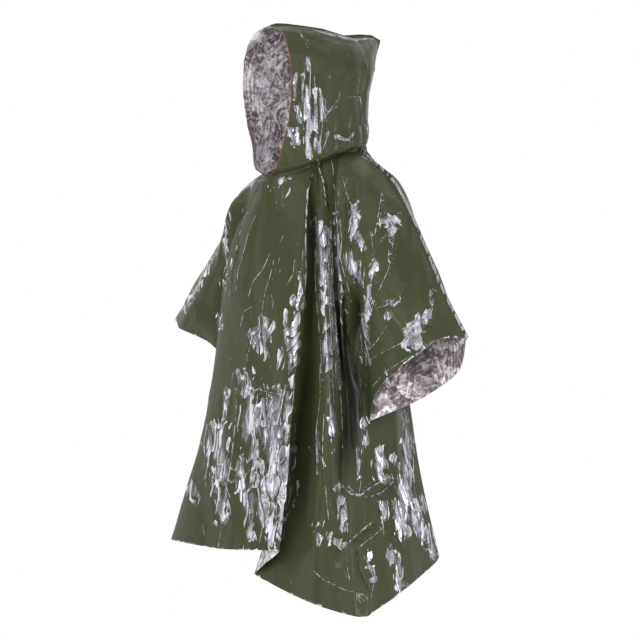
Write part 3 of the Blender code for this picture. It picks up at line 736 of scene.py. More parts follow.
class HoodHalf:
    """Points of one hood half, as the left one. mirror turns them to its own side, 1 or -1."""

    def __init__(self, side):
        self.mirror = np.array([side, 1, 1])
        steps_back = round(HOOD_DEPTH / HOOD_GRID)
        steps_up = round(HOOD_HEIGHT / HOOD_GRID)
        us = np.linspace(0, 1, steps_back + 1)
        vs = np.arange(1, steps_up + 1) / steps_up
        lap = [[lap_point(u, height) for u in us] for height in LAP_HEIGHTS]
        grid = np.array(lap + [[hood_point(u, v) for u in us] for v in vs])
        self.above = len(lap)
        grid[..., 0] = np.maximum(grid[..., 0], SEAM_GAP / 2)
        grid[self.above :, 1:, 0] = np.maximum(grid[self.above :, 1:, 0], (SEAM_GAP + FILM) / 2)
        grid[self.above :, -1, 0] = (SEAM_GAP + FILM) / 2
        grid[-1, :, 0] = (SEAM_GAP + FILM) / 2
        self.number_points(grid)
        self.triangles = split_quads(self.points, grid_quads(self.index)[:, ::-1])
        self.normals = sheet_normals(self.points, self.triangles)[0]
        self.share_back = np.zeros(len(self.points))
        self.share_up = np.zeros(len(self.points))
        rows, columns = np.indices(self.index.shape)
        filled = self.index >= 0
        self.share_back[self.index[filled]] = columns[filled] / steps_back
        self.share_up[self.index[filled]] = rows[filled] / steps_up

    def number_points(self, grid):
        """Index grid with a further row and column for the flange along the top and back seams."""
        rows, columns = grid.shape[:2]
        rise = smoothstep(np.arange(columns)[:, None] * HOOD_GRID, -0.3 * FIN_TAPER, FIN_TAPER)
        back_seam = grid[self.above :, -1]
        top = grid[-1] + out_of_seam(grid[-1], (0, 0, 1))[1] * SEAM_FIN * rise
        back = back_seam + out_of_seam(back_seam, (0, 1, 0))[1] * SEAM_FIN
        corner = back[-1] + top[-1] - grid[-1, -1]
        count = rows * columns
        self.index = np.full((rows + 1, columns + 1), -1)
        self.index[:rows, :columns] = np.arange(count).reshape(rows, columns)
        self.index[rows, :columns] = count + np.arange(columns)
        self.index[self.above : rows, columns] = count + columns + np.arange(len(back))
        self.index[rows, columns] = count + columns + len(back)
        self.points = np.concatenate([grid.reshape(-1, 3), top, back, [corner]])
        self.tips = np.arange(count, len(self.points))
        top_foot = self.index[rows - 1, :columns]
        back_foot = self.index[self.above : rows - 1, columns - 1]
        self.feet = np.concatenate([top_foot, back_foot])

    def cloth_places(self):
        """Place of each point on the flat cloth: metres back from the face and metres up."""
        return self.share_back * HOOD_DEPTH, self.share_up * HOOD_HEIGHT

    def press(self, relief):
        """Moves the points out by the relief, away from the seams."""
        reach = SEAM_REACH * HOOD_GRID
        from_seams = np.minimum((1 - self.share_back) * HOOD_DEPTH, (1 - self.share_up) * HOOD_HEIGHT)
        clear = smoothstep(from_seams, 0, reach) * smoothstep(self.share_up * HOOD_HEIGHT, 0, 3 * reach)
        self.points += self.normals * (relief * clear)[:, None]
        nearest = np.full(len(self.points), (SEAM_GAP + FILM) / 2)
        nearest[self.index[: self.above, 0]] = SEAM_GAP / 2
        self.points[:, 0] = np.maximum(self.points[:, 0], nearest)

    def fit_seams(self):
        """Keeps the flange and its foot square to the centre plane."""
        self.offsets = sheet_offsets(self.points, self.triangles)
        square_flange(self.offsets, self.tips, self.feet, np.array([[1.0, 0, 0]]))

    def film(self, name, marks, materials):
        triangles = self.triangles if self.mirror[0] > 0 else self.triangles[:, ::-1]
        points = self.points * self.mirror
        return film_object(name, points, self.offsets * self.mirror, triangles, marks, materials)


# Materials

CENTRE = (0.5, 0.5, 0.5)  # middle of a random colour
DEEP_SHADE = (0.003, 0.004, 0.002, 1)  # painted shade: olive in the deepest folds
# painted shade in crease troughs
PAINTED_TROUGH_SHADE = (0.012, 0.014, 0.008, 1)
PAINTED_RIDGE_HIGHLIGHT = (0.62, 0.62, 0.68, 1)  # painted highlight on crease ridges and seam edges outside
PAINTED_LINING_HIGHLIGHT = (1.0, 0.98, 1.0, 1)  # painted highlight on crease lines of the lining
RIM_RED = (0.30, 0.08, 0.07, 1)  # edge of the face opening
COAT = {"Coat Weight": 0.33, "Coat Roughness": 0.07, "Coat IOR": 1.5}


def fill(node, inputs):
    """Links or sets the inputs of a node, by name or number."""
    for name, value in inputs.items():
        if isinstance(value, Value):
            value.tree.links.new(value.socket, node.inputs[name])
        else:
            node.inputs[name].default_value = value


class Value:
    """An output of a new node. Arithmetic with it adds Math nodes."""

    def __init__(self, tree, kind, inputs, output=0, **settings):
        self.tree = tree
        self.node = tree.nodes.new(kind)
        for name, setting in settings.items():
            setattr(self.node, name, setting)
        fill(self.node, inputs)
        self.socket = self.node.outputs[output]

    def math(self, operation, *others):
        inputs = dict(enumerate([self, *others]))
        return Value(self.tree, "ShaderNodeMath", inputs, operation=operation)

    def vector(self, operation, *others):
        inputs = dict(enumerate([self, *others]))
        return Value(self.tree, "ShaderNodeVectorMath", inputs, operation=operation)

    def __add__(self, other):
        return self.math("ADD", other)

    __radd__ = __add__

    def __sub__(self, other):
        return self.math("SUBTRACT", other)

    def __rsub__(self, other):
        return Value(self.tree, "ShaderNodeMath", {0: other, 1: self}, operation="SUBTRACT")

    def __mul__(self, other):
        return self.math("MULTIPLY", other)

    def __truediv__(self, other):
        return self.math("DIVIDE", other)


def attribute(tree, name):
    return Value(tree, "ShaderNodeAttribute", {}, "Fac", attribute_name=name)


def cloth_position(tree, stretch=(1, 1, 1)):
    """Position on the object in metres, stretched along the axes."""
    place = Value(tree, "ShaderNodeTexCoord", {}, "Object")
    return Value(tree, "ShaderNodeMapping", {"Vector": place, "Scale": stretch})


def noise(place, scale, detail=2.0, roughness=0.5, output="Fac"):
    inputs = {"Vector": place, "Scale": scale, "Detail": detail, "Roughness": roughness}
    return Value(place.tree, "ShaderNodeTexNoise", inputs, output)


def moved(vector, shift, amount):
    """A position or a normal with an amount of a shift added."""
    inputs = {0: shift, "Scale": amount}
    return vector.vector("ADD", Value(vector.tree, "ShaderNodeVectorMath", inputs, operation="SCALE"))


def warped(place, scale, amount):
    """A position shifted by noise, so that a pattern on it runs unevenly."""
    return moved(place, noise(place, scale, output="Color").vector("SUBTRACT", CENTRE), amount)


def tilted(normal, *terms):
    """A normal turned by the tilts of the facets, each times its weight."""
    for tilt, weight in terms:
        normal = moved(normal, tilt, weight)
    return normal.vector("NORMALIZE")


def bump(height, distance, strength, normal=None):
    inputs = {"Height": height, "Distance": distance, "Strength": strength}
    if normal is not None:
        inputs["Normal"] = normal
    return Value(height.tree, "ShaderNodeBump", inputs)


def smooth_range(value, low, high, to_low=0.0, to_high=1.0):
    inputs = {"Value": value, "From Min": low, "From Max": high, "To Min": to_low, "To Max": to_high}
    return Value(value.tree, "ShaderNodeMapRange", inputs, interpolation_type="SMOOTHSTEP")


def ramp(factor, *stops):
    """Colours between stops. Each stop is a position and a colour."""
    new = Value(factor.tree, "ShaderNodeValToRGB", {"Fac": factor})
    elements = new.node.color_ramp.elements
    while len(elements) < len(stops):
        elements.new(0.5)
    for element, (position, colour) in zip(elements, stops):
        element.position = position
        element.color = (*colour, 1)
    return new


def mix_colour(factor, first, second):
    inputs = {0: factor, 6: first, 7: second}
    return Value(factor.tree, "ShaderNodeMix", inputs, 2, data_type="RGBA")


def mix_normal(factor, first, second):
    inputs = {0: factor, 4: first, 5: second}
    return Value(factor.tree, "ShaderNodeMix", inputs, 1, data_type="VECTOR").vector("NORMALIZE")


class Shards:
    """Flat facets of crushed film. Each has two tones and a tilt, from -0.5 to 0.5."""

    def __init__(self, place, scale):
        self.place = place
        self.scale = scale
        colour = Value(place.tree, "ShaderNodeTexVoronoi", {"Vector": place, "Scale": scale}, "Color")
        self.tilt = colour.vector("SUBTRACT", CENTRE)
        self.tone = Value(place.tree, "ShaderNodeSeparateColor", {"Color": colour}, "Red") - 0.5
        self.other_tone = Value(place.tree, "ShaderNodeSeparateColor", {"Color": colour}, "Green") - 0.5

    def pleats(self, count, sway=0.0):
        """Small pleats, -0.5 to 0.5 across each, that run another way on each facet and sway."""
        inputs = {0: self.place, 1: self.tilt}
        run = Value(self.place.tree, "ShaderNodeVectorMath", inputs, "Value", operation="DOT_PRODUCT")
        bend = noise(self.place, self.scale, detail=1.0)
        return (run * count + bend * sway).math("FRACT") - 0.5


def pressed_creases(place, widest):
    """1 along the pressed creases, which are uneven in width and broken here and there. widest in mm."""
    away = attribute(place.tree, "crease").math("ABSOLUTE")
    near = attribute(place.tree, "near_crease").math("ABSOLUTE")
    width = smooth_range(noise(place, 70, 4, 0.7), 0.36, 0.66, 0.15 * widest, widest)
    line = smooth_range(1.0 - away / width, 0.0, 0.7) * smooth_range(near, 0.1, 0.35)
    breaks = smooth_range(noise(place, 130, 3), 0.40, 0.52)
    return line * breaks


def outer_film(tree):
    """Glossy olive film, smooth where it hangs free and crushed to facets with a painted pale highlight
    where it is crumpled.
    """
    place = cloth_position(tree, (1, 1, 0.42))
    warp = warped(place, 14, 0.03)
    big = Shards(warp, 24)
    small = Shards(warped(place, 60, 0.006), 62)
    tiny = Shards(place, 240)
    folds = big.pleats(100, 3.5)
    small_pleats = small.pleats(170)
    creased = folds.math("ABSOLUTE").math("POWER", 3) * 8 * folds.math("SIGN")

    # The crumple of the mesh reaches further on some facets than on others, so patches end raggedly.
    crumple = attribute(tree, "crumple")
    core = smooth_range(crumple, 0.65, 0.9)
    ragged = (big.tone * 0.45 + small.tone * 0.30 + small_pleats * 0.30 + folds * 0.45
              + (noise(warp, 46, 7, 0.75) - 0.5) * 0.35)
    crushed = crumple + ragged * smooth_range(crumple, 0.0, 0.25, 0.75, 1.0)
    # Painted highlight: crumpled film is painted pale in tones that stand for the light its facets catch,
    # on top of their real metallic gloss.
    tone = (0.36 + crumple * 0.19 + core * 0.07 + folds * 0.18 + creased * 0.34 + small_pleats * 0.14
            + big.other_tone * 0.24 + small.other_tone * 0.14 + tiny.tone * 0.05)
    lit = smooth_range(tone, 0.28, 0.52).math("MAXIMUM", core * 0.6)
    cover = smooth_range(crushed, 0.40, 0.52) * lit
    line = pressed_creases(place, 1.6)
    ridge = pressed_creases(place, 5.0)

    olive = ramp(noise(place, 9, 4, 0.6), (0.3, (0.041, 0.048, 0.021)), (0.5, (0.047, 0.054, 0.024)),
                 (0.7, (0.053, 0.060, 0.028)))
    pale = ramp(tone, (0.36, (0.28, 0.28, 0.30)), (0.52, (0.56, 0.56, 0.62)), (0.72, (0.90, 0.90, 0.98)))
    # Painted shade darkens the olive in the deep folds.
    film = mix_colour(attribute(tree, "hollow"), olive, DEEP_SHADE)
    film = mix_colour(cover, film, pale)
    # Painted highlight lines along ridges and seam edges, and painted shade lines along troughs.
    upward = smooth_range(attribute(tree, "near_crease"), -0.02, 0.02)
    film = mix_colour(line * 0.85, film, mix_colour(upward, PAINTED_TROUGH_SHADE, PAINTED_RIDGE_HIGHLIGHT))
    film = mix_colour(attribute(tree, "rim"), film, RIM_RED)
    metal = cover.math("MAXIMUM", ridge * 0.35)

    wrinkle = noise(warped(place, 40, 0.012), 55, 3, 0.55)
    smooth = bump(ridge, 1.5 * MM, 0.8, bump(wrinkle, 1.6 * MM, 0.5))
    crumpled = bump(folds * 0.7 + small_pleats * 0.1, 2.0 * MM, 0.8, smooth)
    normal = mix_normal(cover, smooth, tilted(crumpled, (big.tilt, 0.6), (small.tilt, 0.2)))
    return {
        "Base Color": film,
        "Metallic": metal * 0.85,
        "Roughness": smooth_range(metal, 0, 1, 0.5, 0.16),
        "Specular IOR Level": 0.15,
        "Normal": normal,
        "Coat Normal": normal,
        **COAT,
    }


def lining_film(tree):
    """Metallised lining, crushed all over, with a faint mauve tint, painted highlights and shade in its
    tone, and painted highlight lines along its creases.
    """
    place = cloth_position(tree, (0.8, 0.8, 1.1))
    warp = warped(place, 14, 0.03)
    big = Shards(warp, 30)
    small = Shards(warp, 100)
    tiny = Shards(warp, 330)
    folds = big.pleats(130, 3)
    small_pleats = small.pleats(300, 2)
    streaks = Shards(cloth_position(tree, (1, 1, 0.35)), 24).pleats(200, 3)
    # Painted light and shade: the tone stands for how the crushed foil catches light, and the crumple
    # mark brightens it as painted light.
    areas = noise(place, 11, 3, 0.6) - 0.5
    tone = (0.42 + folds * 0.32 + streaks * 0.26 + small_pleats * 0.20 + areas * 0.45 + big.tone * 0.18
            + small.tone * 0.16 + tiny.tone * 0.12 + attribute(tree, "crumple") * 0.34)
    colour = ramp(tone, (0.16, (0.22, 0.18, 0.185)), (0.44, (0.42, 0.36, 0.375)),
                  (0.60, (0.78, 0.71, 0.735)), (0.72, (1.0, 0.97, 1.0)))
    relief = folds * 0.5 + small_pleats * 0.3 + streaks * 0.3
    return {
        "Base Color": mix_colour(pressed_creases(place, 3.8), colour, PAINTED_LINING_HIGHLIGHT),
        "Metallic": smooth_range(tone, 0.2, 0.8, 0.4, 0.1),
        "Roughness": 0.2,
        "Normal": tilted(bump(relief, 1.2 * MM, 0.8), (big.tilt, 0.45), (small.tilt, 0.45)),
    }


def cut_edge(tree):
    """Cut edge of the film: dark olive, and reddish round the face opening."""
    shade = noise(cloth_position(tree), 60, 3)
    olive = ramp(shade, (0.35, (0.050, 0.057, 0.026)), (0.65, (0.10, 0.11, 0.07)))
    red = ramp(shade, (0.35, (0.20, 0.07, 0.06)), (0.65, (0.40, 0.26, 0.24)))
    return {"Base Color": mix_colour(attribute(tree, "rim"), olive, red), "Roughness": 0.35}


def pale_floor(tree):
    shade = noise(cloth_position(tree), 3, 4)
    colour = ramp(shade, (0.3, (0.76, 0.76, 0.75)), (0.7, (0.80, 0.80, 0.79)))
    return {"Base Color": colour, "Roughness": 0.8}


def new_material(name, look):
    """A material whose shader has the inputs that a look gives."""
    material = bpy.data.materials.new(name)
    material.use_nodes = True
    fill(material.node_tree.nodes["Principled BSDF"], look(material.node_tree))
    return material


# Studio

def direction(right, up):
    """Direction from the poncho, in degrees to the right of the view and above the horizon."""
    a, e = VIEW_ANGLE + np.radians(right), np.radians(up)
    return np.array([np.sin(a) * np.cos(e), -np.cos(a) * np.cos(e), np.sin(e)])


def add_object(name, data):
    obj = bpy.data.objects.new(name, data)
    bpy.context.scene.collection.objects.link(obj)
    return obj


def add_softbox(name, right, up, distance, width, height, radiance, in_gloss=True):
    """Area light turned towards the middle of the poncho, and whether it shows in the gloss."""
    light = bpy.data.lights.new(name, "AREA")
    light.shape = "RECTANGLE"
    light.size = width
    light.size_y = height
    light.energy = radiance * np.pi * width * height
    light.color = LAMP_COLOUR
    away = direction(right, up)
    lamp = add_object(name, light)
    lamp.location = np.array([0, 0, VIEW_HEIGHT]) + away * distance
    lamp.rotation_euler = Vector(away).to_track_quat("Z", "Y").to_euler()
    lamp.visible_glossy = in_gloss


def add_world():
    """Soft light from all round, white behind the part. In the gloss it shows as parts of a room."""
    world = bpy.data.worlds.new("studio")
    bpy.context.scene.world = world
    world.use_nodes = True
    tree = world.node_tree
    room = noise(Value(tree, "ShaderNodeTexCoord", {}, "Generated"), 2.4, 2, 0.6)
    in_gloss = smooth_range(room, 0.42, 0.60, *GLOSS_LIGHT)
    glossy = Value(tree, "ShaderNodeLightPath", {}, "Is Glossy Ray")
    inputs = {"Value": glossy, "To Min": SOFT_LIGHT, "To Max": in_gloss}
    behind = Value(tree, "ShaderNodeLightPath", {}, "Is Camera Ray")
    strength = Value(tree, "ShaderNodeMapRange", inputs).math("MAXIMUM", behind)
    fill(tree.nodes["Background"], {"Strength": strength, "Color": (1, 1, 1, 1)})


def add_camera():
    camera = bpy.data.cameras.new("camera")
    camera.sensor_width = 36
    camera.lens = camera.sensor_width * VIEW_DISTANCE / VIEW_WIDTH
    aside = level_direction(VIEW_ANGLE + np.pi / 2) * VIEW_OFFSET
    viewer = add_object("camera", camera)
    viewer.location = aside + level_direction(VIEW_ANGLE) * VIEW_DISTANCE
    viewer.location.z = VIEW_HEIGHT
    viewer.rotation_euler = (np.pi / 2, 0, VIEW_ANGLE)
    bpy.context.scene.camera = viewer


def add_floor():
    mesh = bpy.data.meshes.new("floor")
    turns = np.linspace(0, 2 * np.pi, 96, endpoint=False)
    rim = [(FLOOR_RADIUS * np.cos(turn), FLOOR_RADIUS * np.sin(turn), FLOOR_Z) for turn in turns]
    mesh.from_pydata(rim, [], [tuple(range(len(rim)))])
    mesh.materials.append(new_material("pale_floor", pale_floor))
    add_object("floor", mesh)


# Marks

# Creases of the side that faces the three-quarter view. Columns: half-width and height of the ridge in
# mm (below 0 it is a trough), then its points, mm across and mm high in the plane of the neck.
# Each crease also gets a painted highlight line along a ridge, or a painted shade line along a trough.
CREASES = (
    # Front, from the throat down the wearer's right
    (8, -4.0, (-116, -22), (-135, -60), (-150, -88), (-165, -115), (-172, -150), (-182, -220)),
    (4, 2.0, (-150, -95), (-166, -125), (-174, -165), (-186, -230), (-192, -300)),
    (3, 1.0, (-134, -112), (-150, -155), (-160, -195), (-172, -240), (-178, -290)),
    (3, 0.9, (-100, -198), (-116, -235), (-138, -262), (-150, -300)),
    (3, 0.9, (-92, -215), (-100, -250), (-112, -290), (-118, -330)),
    (3, 0.8, (-70, -158), (-80, -176)),
    (3, 1.2, (-140, -318), (-158, -330), (-168, -365)),
    (3, 1.0, (-98, -292), (-92, -310), (-96, -325)),
    (3, 1.2, (-26, -185), (-30, -225), (-34, -262)),
    (3, 1.4, (-46, -212), (-48, -245), (-62, -270)),
    # Star above the large patch, with its folds
    (4, 2.0, (-165, -500), (-130, -505), (-100, -512), (-60, -520)),
    (4, -2.5, (-120, -508), (-108, -545), (-102, -600), (-106, -640)),
    (4, 2.0, (-128, -508), (-134, -560), (-132, -640), (-130, -740)),
    (4, -2.0, (-102, -512), (-84, -545), (-66, -590), (-60, -640)),
    (3, 1.6, (-110, -520), (-95, -570), (-80, -620)),
    (4, -2.2, (-128, -632), (-100, -634), (-72, -642)),
    (4, -2.2, (-114, -650), (-108, -690), (-90, -715), (-74, -748)),
    (4, 2.0, (-126, -650), (-118, -700), (-104, -735), (-66, -752)),
    (4, -2.0, (-90, -655), (-76, -690), (-66, -730)),
    (4, 1.8, (-122, -760), (-116, -810), (-124, -850)),
    (3, 1.6, (-84, -760), (-86, -800), (-80, -840)),
    # Folds of the patches further to the wearer's right
    (4, 2.2, (-178, -500), (-176, -560), (-182, -620), (-190, -690), (-196, -720)),
    (4, -2.2, (-212, -560), (-220, -610), (-214, -650), (-222, -690)),
    (4, 1.8, (-225, -672), (-206, -676), (-200, -720), (-190, -750)),
    (4, 2.0, (-236, -690), (-228, -740), (-222, -770), (-208, -800)),
    (3, 1.5, (-206, -765), (-196, -795), (-188, -785), (-192, -760)),
    (3, 1.6, (-152, -400), (-152, -440), (-160, -475), (-168, -520)),
    (3, 1.4, (-148, -480), (-136, -510), (-120, -500)),
    (4, 1.8, (-182, -690), (-168, -665), (-158, -690), (-168, -720)),
    (4, 2.0, (-152, -735), (-146, -790), (-152, -830)),
    (3, 1.2, (-207, -800), (-212, -830), (-218, -862)),
    (3, 1.2, (-252, -805), (-250, -830)),
    # Between the front's edge fold and the next
    (4, 2.2, (-6, -15), (-18, -60), (-20, -110), (-22, -170), (-22, -250), (-28, -330)),
    (4, 2.2, (2, -190), (2, -250), (8, -330), (14, -420), (18, -500)),
    (5, 2.6, (22, -150), (30, -250), (34, -330), (36, -420), (42, -540)),
    (4, -2.4, (14, -170), (20, -260), (26, -340), (30, -440)),
    (4, 2.2, (34, -120), (38, -220), (44, -320), (52, -420), (58, -560), (62, -640)),
    (4, 1.8, (12, -430), (12, -520), (2, -600), (6, -700)),
    (4, 1.8, (20, -560), (18, -640), (22, -720), (30, -800)),
    (5, -3.0, (-4, 10), (6, -40), (10, -100)),
    (5, -3.0, (12, 12), (26, -50), (30, -110)),
    (5, 3.0, (4, 14), (18, -40), (24, -100)),
    (5, 2.6, (36, 12), (46, -60), (48, -130)),
    # Sleeve
    (4, 2.2, (60, -22), (72, -65), (82, -90)),
    (4, 2.4, (82, -90), (84, -130), (82, -170)),
    (4, -2.6, (118, -150), (96, -165), (80, -185)),
    (4, 2.2, (192, -106), (166, -128), (140, -136)),
    (4, 2.2, (170, -128), (176, -160), (172, -200), (166, -232)),
    (3, 1.6, (164, -120), (166, -160), (164, -225)),
    (3, 1.8, (124, -150), (132, -200), (138, -230), (122, -275)),
    (4, 2.6, (166, -232), (150, -270), (136, -300), (128, -330)),
    (4, 2.4, (122, -275), (118, -310), (106, -350), (112, -400), (120, -430)),
    (3, 1.8, (182, -302), (160, -316), (130, -324)),
    (3, 1.8, (166, -330), (160, -365), (140, -395), (118, -420)),
    (4, 2.4, (270, -322), (240, -345), (200, -376)),
    (4, -2.2, (258, -362), (228, -378), (202, -392)),
    (4, 2.0, (205, -400), (222, -415), (240, -395)),
    (3, 1.4, (200, -398), (160, -418), (120, -440)),
    (3, 1.2, (262, -410), (210, -432), (160, -465), (128, -500)),
    (3, 1.4, (258, -282), (258, -305), (266, -330)),
    (4, 2.2, (56, -120), (60, -170), (58, -210), (70, -260), (84, -310)),
    (5, -3.5, (66, -60), (70, -120), (66, -190)),
    (14, -14.0, (60, -250), (70, -330), (86, -420), (104, -505)),
    (4, 2.0, (150, -60), (142, -110), (134, -160)),
    # Low on the wearer's left, with creases that run from two stars
    (4, 2.2, (104, -738), (130, -722), (166, -700)),
    (4, 2.2, (122, -748), (150, -736), (180, -706)),
    (5, -3.0, (108, -736), (138, -742), (148, -762), (140, -800)),
    (4, 2.0, (58, -722), (82, -742), (118, -748)),
    (4, 1.8, (72, -720), (98, -745), (104, -700)),
    (5, 2.6, (74, -850), (102, -824), (128, -803)),
    (5, -2.6, (80, -856), (112, -828), (142, -806)),
    (4, 2.2, (96, -862), (126, -838), (152, -816)),
    (4, 1.8, (26, -836), (52, -860), (74, -850), (72, -870)),
    (4, 2.0, (72, -850), (72, -900), (78, -935)),
    (5, -2.4, (92, -868), (98, -910), (118, -955)),
    (4, 2.0, (-4, -912), (20, -934), (66, -956), (112, -968)),
    (4, 2.2, (106, -570), (108, -610), (114, -640)),
    (4, 2.2, (92, -635), (92, -680), (98, -708)),
    (4, -2.2, (148, -630), (158, -660), (150, -700)),
    (4, 2.4, (134, -640), (138, -680), (152, -710), (170, -700)),
    (4, -2.4, (196, -640), (202, -690), (196, -730), (214, -760)),
    (4, 2.2, (214, -600), (218, -660), (222, -730), (240, -790), (262, -850)),
    (4, 2.0, (60, -745), (62, -790), (66, -825)),
    (4, 2.2, (178, -745), (186, -790), (202, -830), (196, -860)),
    (4, -2.2, (216, -775), (232, -800), (236, -830), (262, -880)),
    (4, 2.0, (176, -872), (180, -910), (196, -945)),
    (4, 2.0, (112, -876), (124, -905), (132, -940), (126, -975)),
    # Hood
    (3, 1.6, (-40, 205), (-46, 180), (-48, 150), (-46, 120)),
    (3, -1.6, (-34, 205), (-36, 175), (-34, 140)),
    (3, 1.8, (-26, 240), (-24, 200), (-30, 160), (-26, 120)),
    (3, -1.8, (-20, 235), (-18, 190), (-22, 140), (-20, 70)),
    (3, 1.8, (-10, 225), (-12, 180), (-10, 120), (-14, 60), (-8, 15)),
    (3, -1.6, (-6, 190), (-4, 140), (-4, 90), (-6, 50)),
    (3, 1.6, (-2, 200), (2, 140), (4, 90), (0, 40)),
    (3, 1.6, (8, 172), (14, 150), (18, 110), (12, 70), (8, 30)),
    (3, 1.4, (22, 150), (22, 110), (28, 70), (18, 35)),
    (3, 1.6, (56, 150), (40, 135), (22, 108)),
    (3, 1.2, (50, 132), (36, 122), (24, 118)),
    (3, 1.4, (-48, 130), (-38, 112), (-30, 92)),
    (3, -1.6, (-60, 100), (-52, 70), (-44, 40)),
    (3, 1.6, (-66, 60), (-56, 80), (-42, 50)),
    (3, 1.2, (40, 70), (56, 56), (76, 60)),
    (3, 1.2, (86, 74), (76, 58)),
    (3, 1.4, (72, 152), (98, 154), (102, 135)),
    (4, 1.2, (-36, 300), (-26, 280), (-16, 262)),
    (4, -2.0, (-30, 296), (4, 280), (40, 272)),
    (4, 1.8, (70, 290), (90, 278), (120, 282)),
)

# Crumpled patches, which also get a painted pale highlight. Columns: half-width in mm, how crumpled it
# is, how far it is turned to the right in degrees, then the points of its middle line.
PATCHES = (
    # Low on the front
    (34, 1.0, 8, (-94, -535), (-94, -730)),
    (18, 0.9, 8, (-148, -522), (-142, -598)),
    (9, 0.8, 6, (-142, -600), (-138, -676)),
    (10, 0.8, 7, (-199, -518), (-206, -570)),
    (23, 0.9, 7, (-212, -600), (-215, -700)),
    (14, 0.9, 6, (-224, -705), (-210, -795)),
    (13, 0.8, 5, (-170, -668), (-168, -722)),
    (11, 0.8, 6, (-152, -745), (-142, -830)),
    (15, 0.8, 7, (-118, -745), (-110, -800)),
    (10, 0.7, 5, (-104, -800), (-98, -850)),
    (9, 0.7, 5, (-275, -722), (-275, -752)),
    (16, 0.8, 5, (-160, -475), (-156, -510)),
    (7, 0.9, 3, (-64, -540), (-62, -720), (-76, -840)),
    (10, 0.8, 4, (-110, -500), (-80, -505)),
    # High on the front
    (8, 0.9, -12, (-33, -252), (-36, -300)),
    (10, 1.0, -12, (-44, -300), (-40, -316)),
    (6, 0.9, -10, (-65, -330), (-62, -400)),
    (8, 0.9, -10, (-45, -330), (-46, -440)),
    (13, 0.9, -5, (-104, -350), (-112, -385)),
    (10, 0.9, -5, (-136, -382), (-112, -425)),
    (9, 0.8, -3, (-76, -420), (-78, -450)),
    (6, 0.7, -4, (-58, -400), (-54, -500)),
    (5, 0.6, -6, (-76, -35), (-55, -30)),
    # Right sleeve
    (9, 0.7, 0, (-192, -218), (-206, -268)),
    (8, 0.9, 0, (-218, -342), (-217, -364)),
    (5, 0.6, 0, (-188, -95), (-206, -200)),
    (5, 0.7, 0, (-193, -140), (-232, -215), (-262, -270)),
    (7, 0.75, 0, (-262, -270), (-297, -325)),
    # Between the folds
    (9, 1.0, 0, (4, -130), (14, -165), (14, -212)),
    (5, 1.0, 0, (28, -146), (32, -250), (36, -330)),
    (4, 1.0, 0, (18, -210), (22, -330), (34, -470)),
    (5, 1.0, 0, (38, -330), (46, -400), (52, -500)),
    (5, 0.9, 0, (46, -110), (52, -200), (58, -300)),
    (6, 0.9, 0, (24, -400), (32, -500), (38, -600)),
    (5, 0.8, 0, (16, -250), (22, -330), (24, -400)),
    (6, 0.6, 0, (8, -600), (14, -680)),
    (10, 0.6, 0, (4, -800), (10, -850)),
    (10, 0.65, 0, (30, -840), (60, -855)),
    (12, 0.65, 0, (54, -722), (104, -738)),
    (8, 0.8, 0, (60, -750), (66, -820)),
    # Sleeve
    (9, 1.0, 0, (92, -92), (90, -160)),
    (5, 0.9, 0, (103, -164), (109, -188)),
    (12, 0.9, 0, (158, -124), (180, -126)),
    (7, 0.9, 0, (176, -128), (175, -154)),
    (7, 0.8, 0, (136, -222), (130, -246)),
    (12, 0.7, 0, (84, -215), (98, -262)),
    (8, 0.8, 0, (122, -280), (120, -330)),
    (8, 0.8, 0, (112, -335), (118, -440)),
    (10, 1.0, 0, (258, -334), (206, -374)),
    (9, 1.0, 0, (234, -366), (206, -402), (236, -404)),
    (8, 0.8, 0, (170, -308), (182, -300)),
    (7, 0.8, 0, (162, -330), (164, -350)),
    (5, 0.7, 0, (258, -285), (265, -318)),
    # Low on the wearer's left
    (9, 0.9, 0, (108, -580), (112, -625)),
    (14, 1.0, 0, (145, -642), (150, -700)),
    (10, 0.8, 0, (172, -660), (190, -672)),
    (7, 0.8, 0, (95, -640), (98, -705)),
    (7, 0.9, 0, (200, -560), (210, -620)),
    (12, 1.0, 0, (208, -622), (205, -700)),
    (16, 1.0, 0, (200, -712), (210, -760)),
    (12, 1.0, 0, (186, -762), (204, -830)),
    (16, 1.0, 0, (226, -792), (250, -838)),
    (9, 1.0, 0, (255, -842), (266, -878)),
    (8, 0.9, 0, (240, -750), (245, -775)),
    (9, 1.0, 0, (152, -765), (155, -790)),
    (8, 0.9, 0, (120, -880), (118, -900)),
    (7, 0.9, 0, (128, -902), (131, -935)),
    (8, 0.9, 0, (178, -880), (186, -930)),
    (8, 0.8, 0, (100, -970), (110, -980)),
    (9, 0.9, 0, (190, -946), (205, -948)),
    # Hood
    (4, 1.0, 0, (-42, 205), (-46, 150)),
    (5, 1.0, 0, (-28, 202), (-28, 150)),
    (5, 1.0, 0, (-18, 178), (-17, 60)),
    (4, 1.0, 0, (-18, 240), (-15, 215)),
    (4, 0.9, 0, (-3, 170), (0, 80)),
    (4, 0.9, 0, (15, 150), (15, 90)),
    (3, 0.9, 0, (9, 172), (12, 156)),
    (5, 0.9, 0, (-44, 130), (-35, 100)),
    (6, 1.0, 0, (-55, 80), (-50, 48)),
    (5, 1.0, 0, (-42, 80), (-40, 50)),
    (6, 1.0, 0, (-18, 60), (-12, 20)),
    (4, 0.9, 0, (2, 70), (0, 40)),
    (4, 0.9, 0, (12, 70), (10, 30)),
    (4, 0.9, 0, (26, 70), (18, 40)),
    (4, 0.8, 0, (50, 64), (76, 56)),
    (3, 0.7, 0, (86, 70), (78, 60)),
)

# Deep folds, which little light reaches, darkened with painted shade. Columns: half-width in mm, how dark
# it is, then its points.
SHADED_FOLDS = (
    (28, 0.85, (52, -260), (64, -400), (88, -500), (86, -560), (72, -640), (64, -740)),
    (14, 0.6, (0, -40), (-8, -200), (-16, -340), (-22, -480)),
    (26, 0.5, (-14, -340), (-18, -480), (-26, -664), (-44, -860)),
)
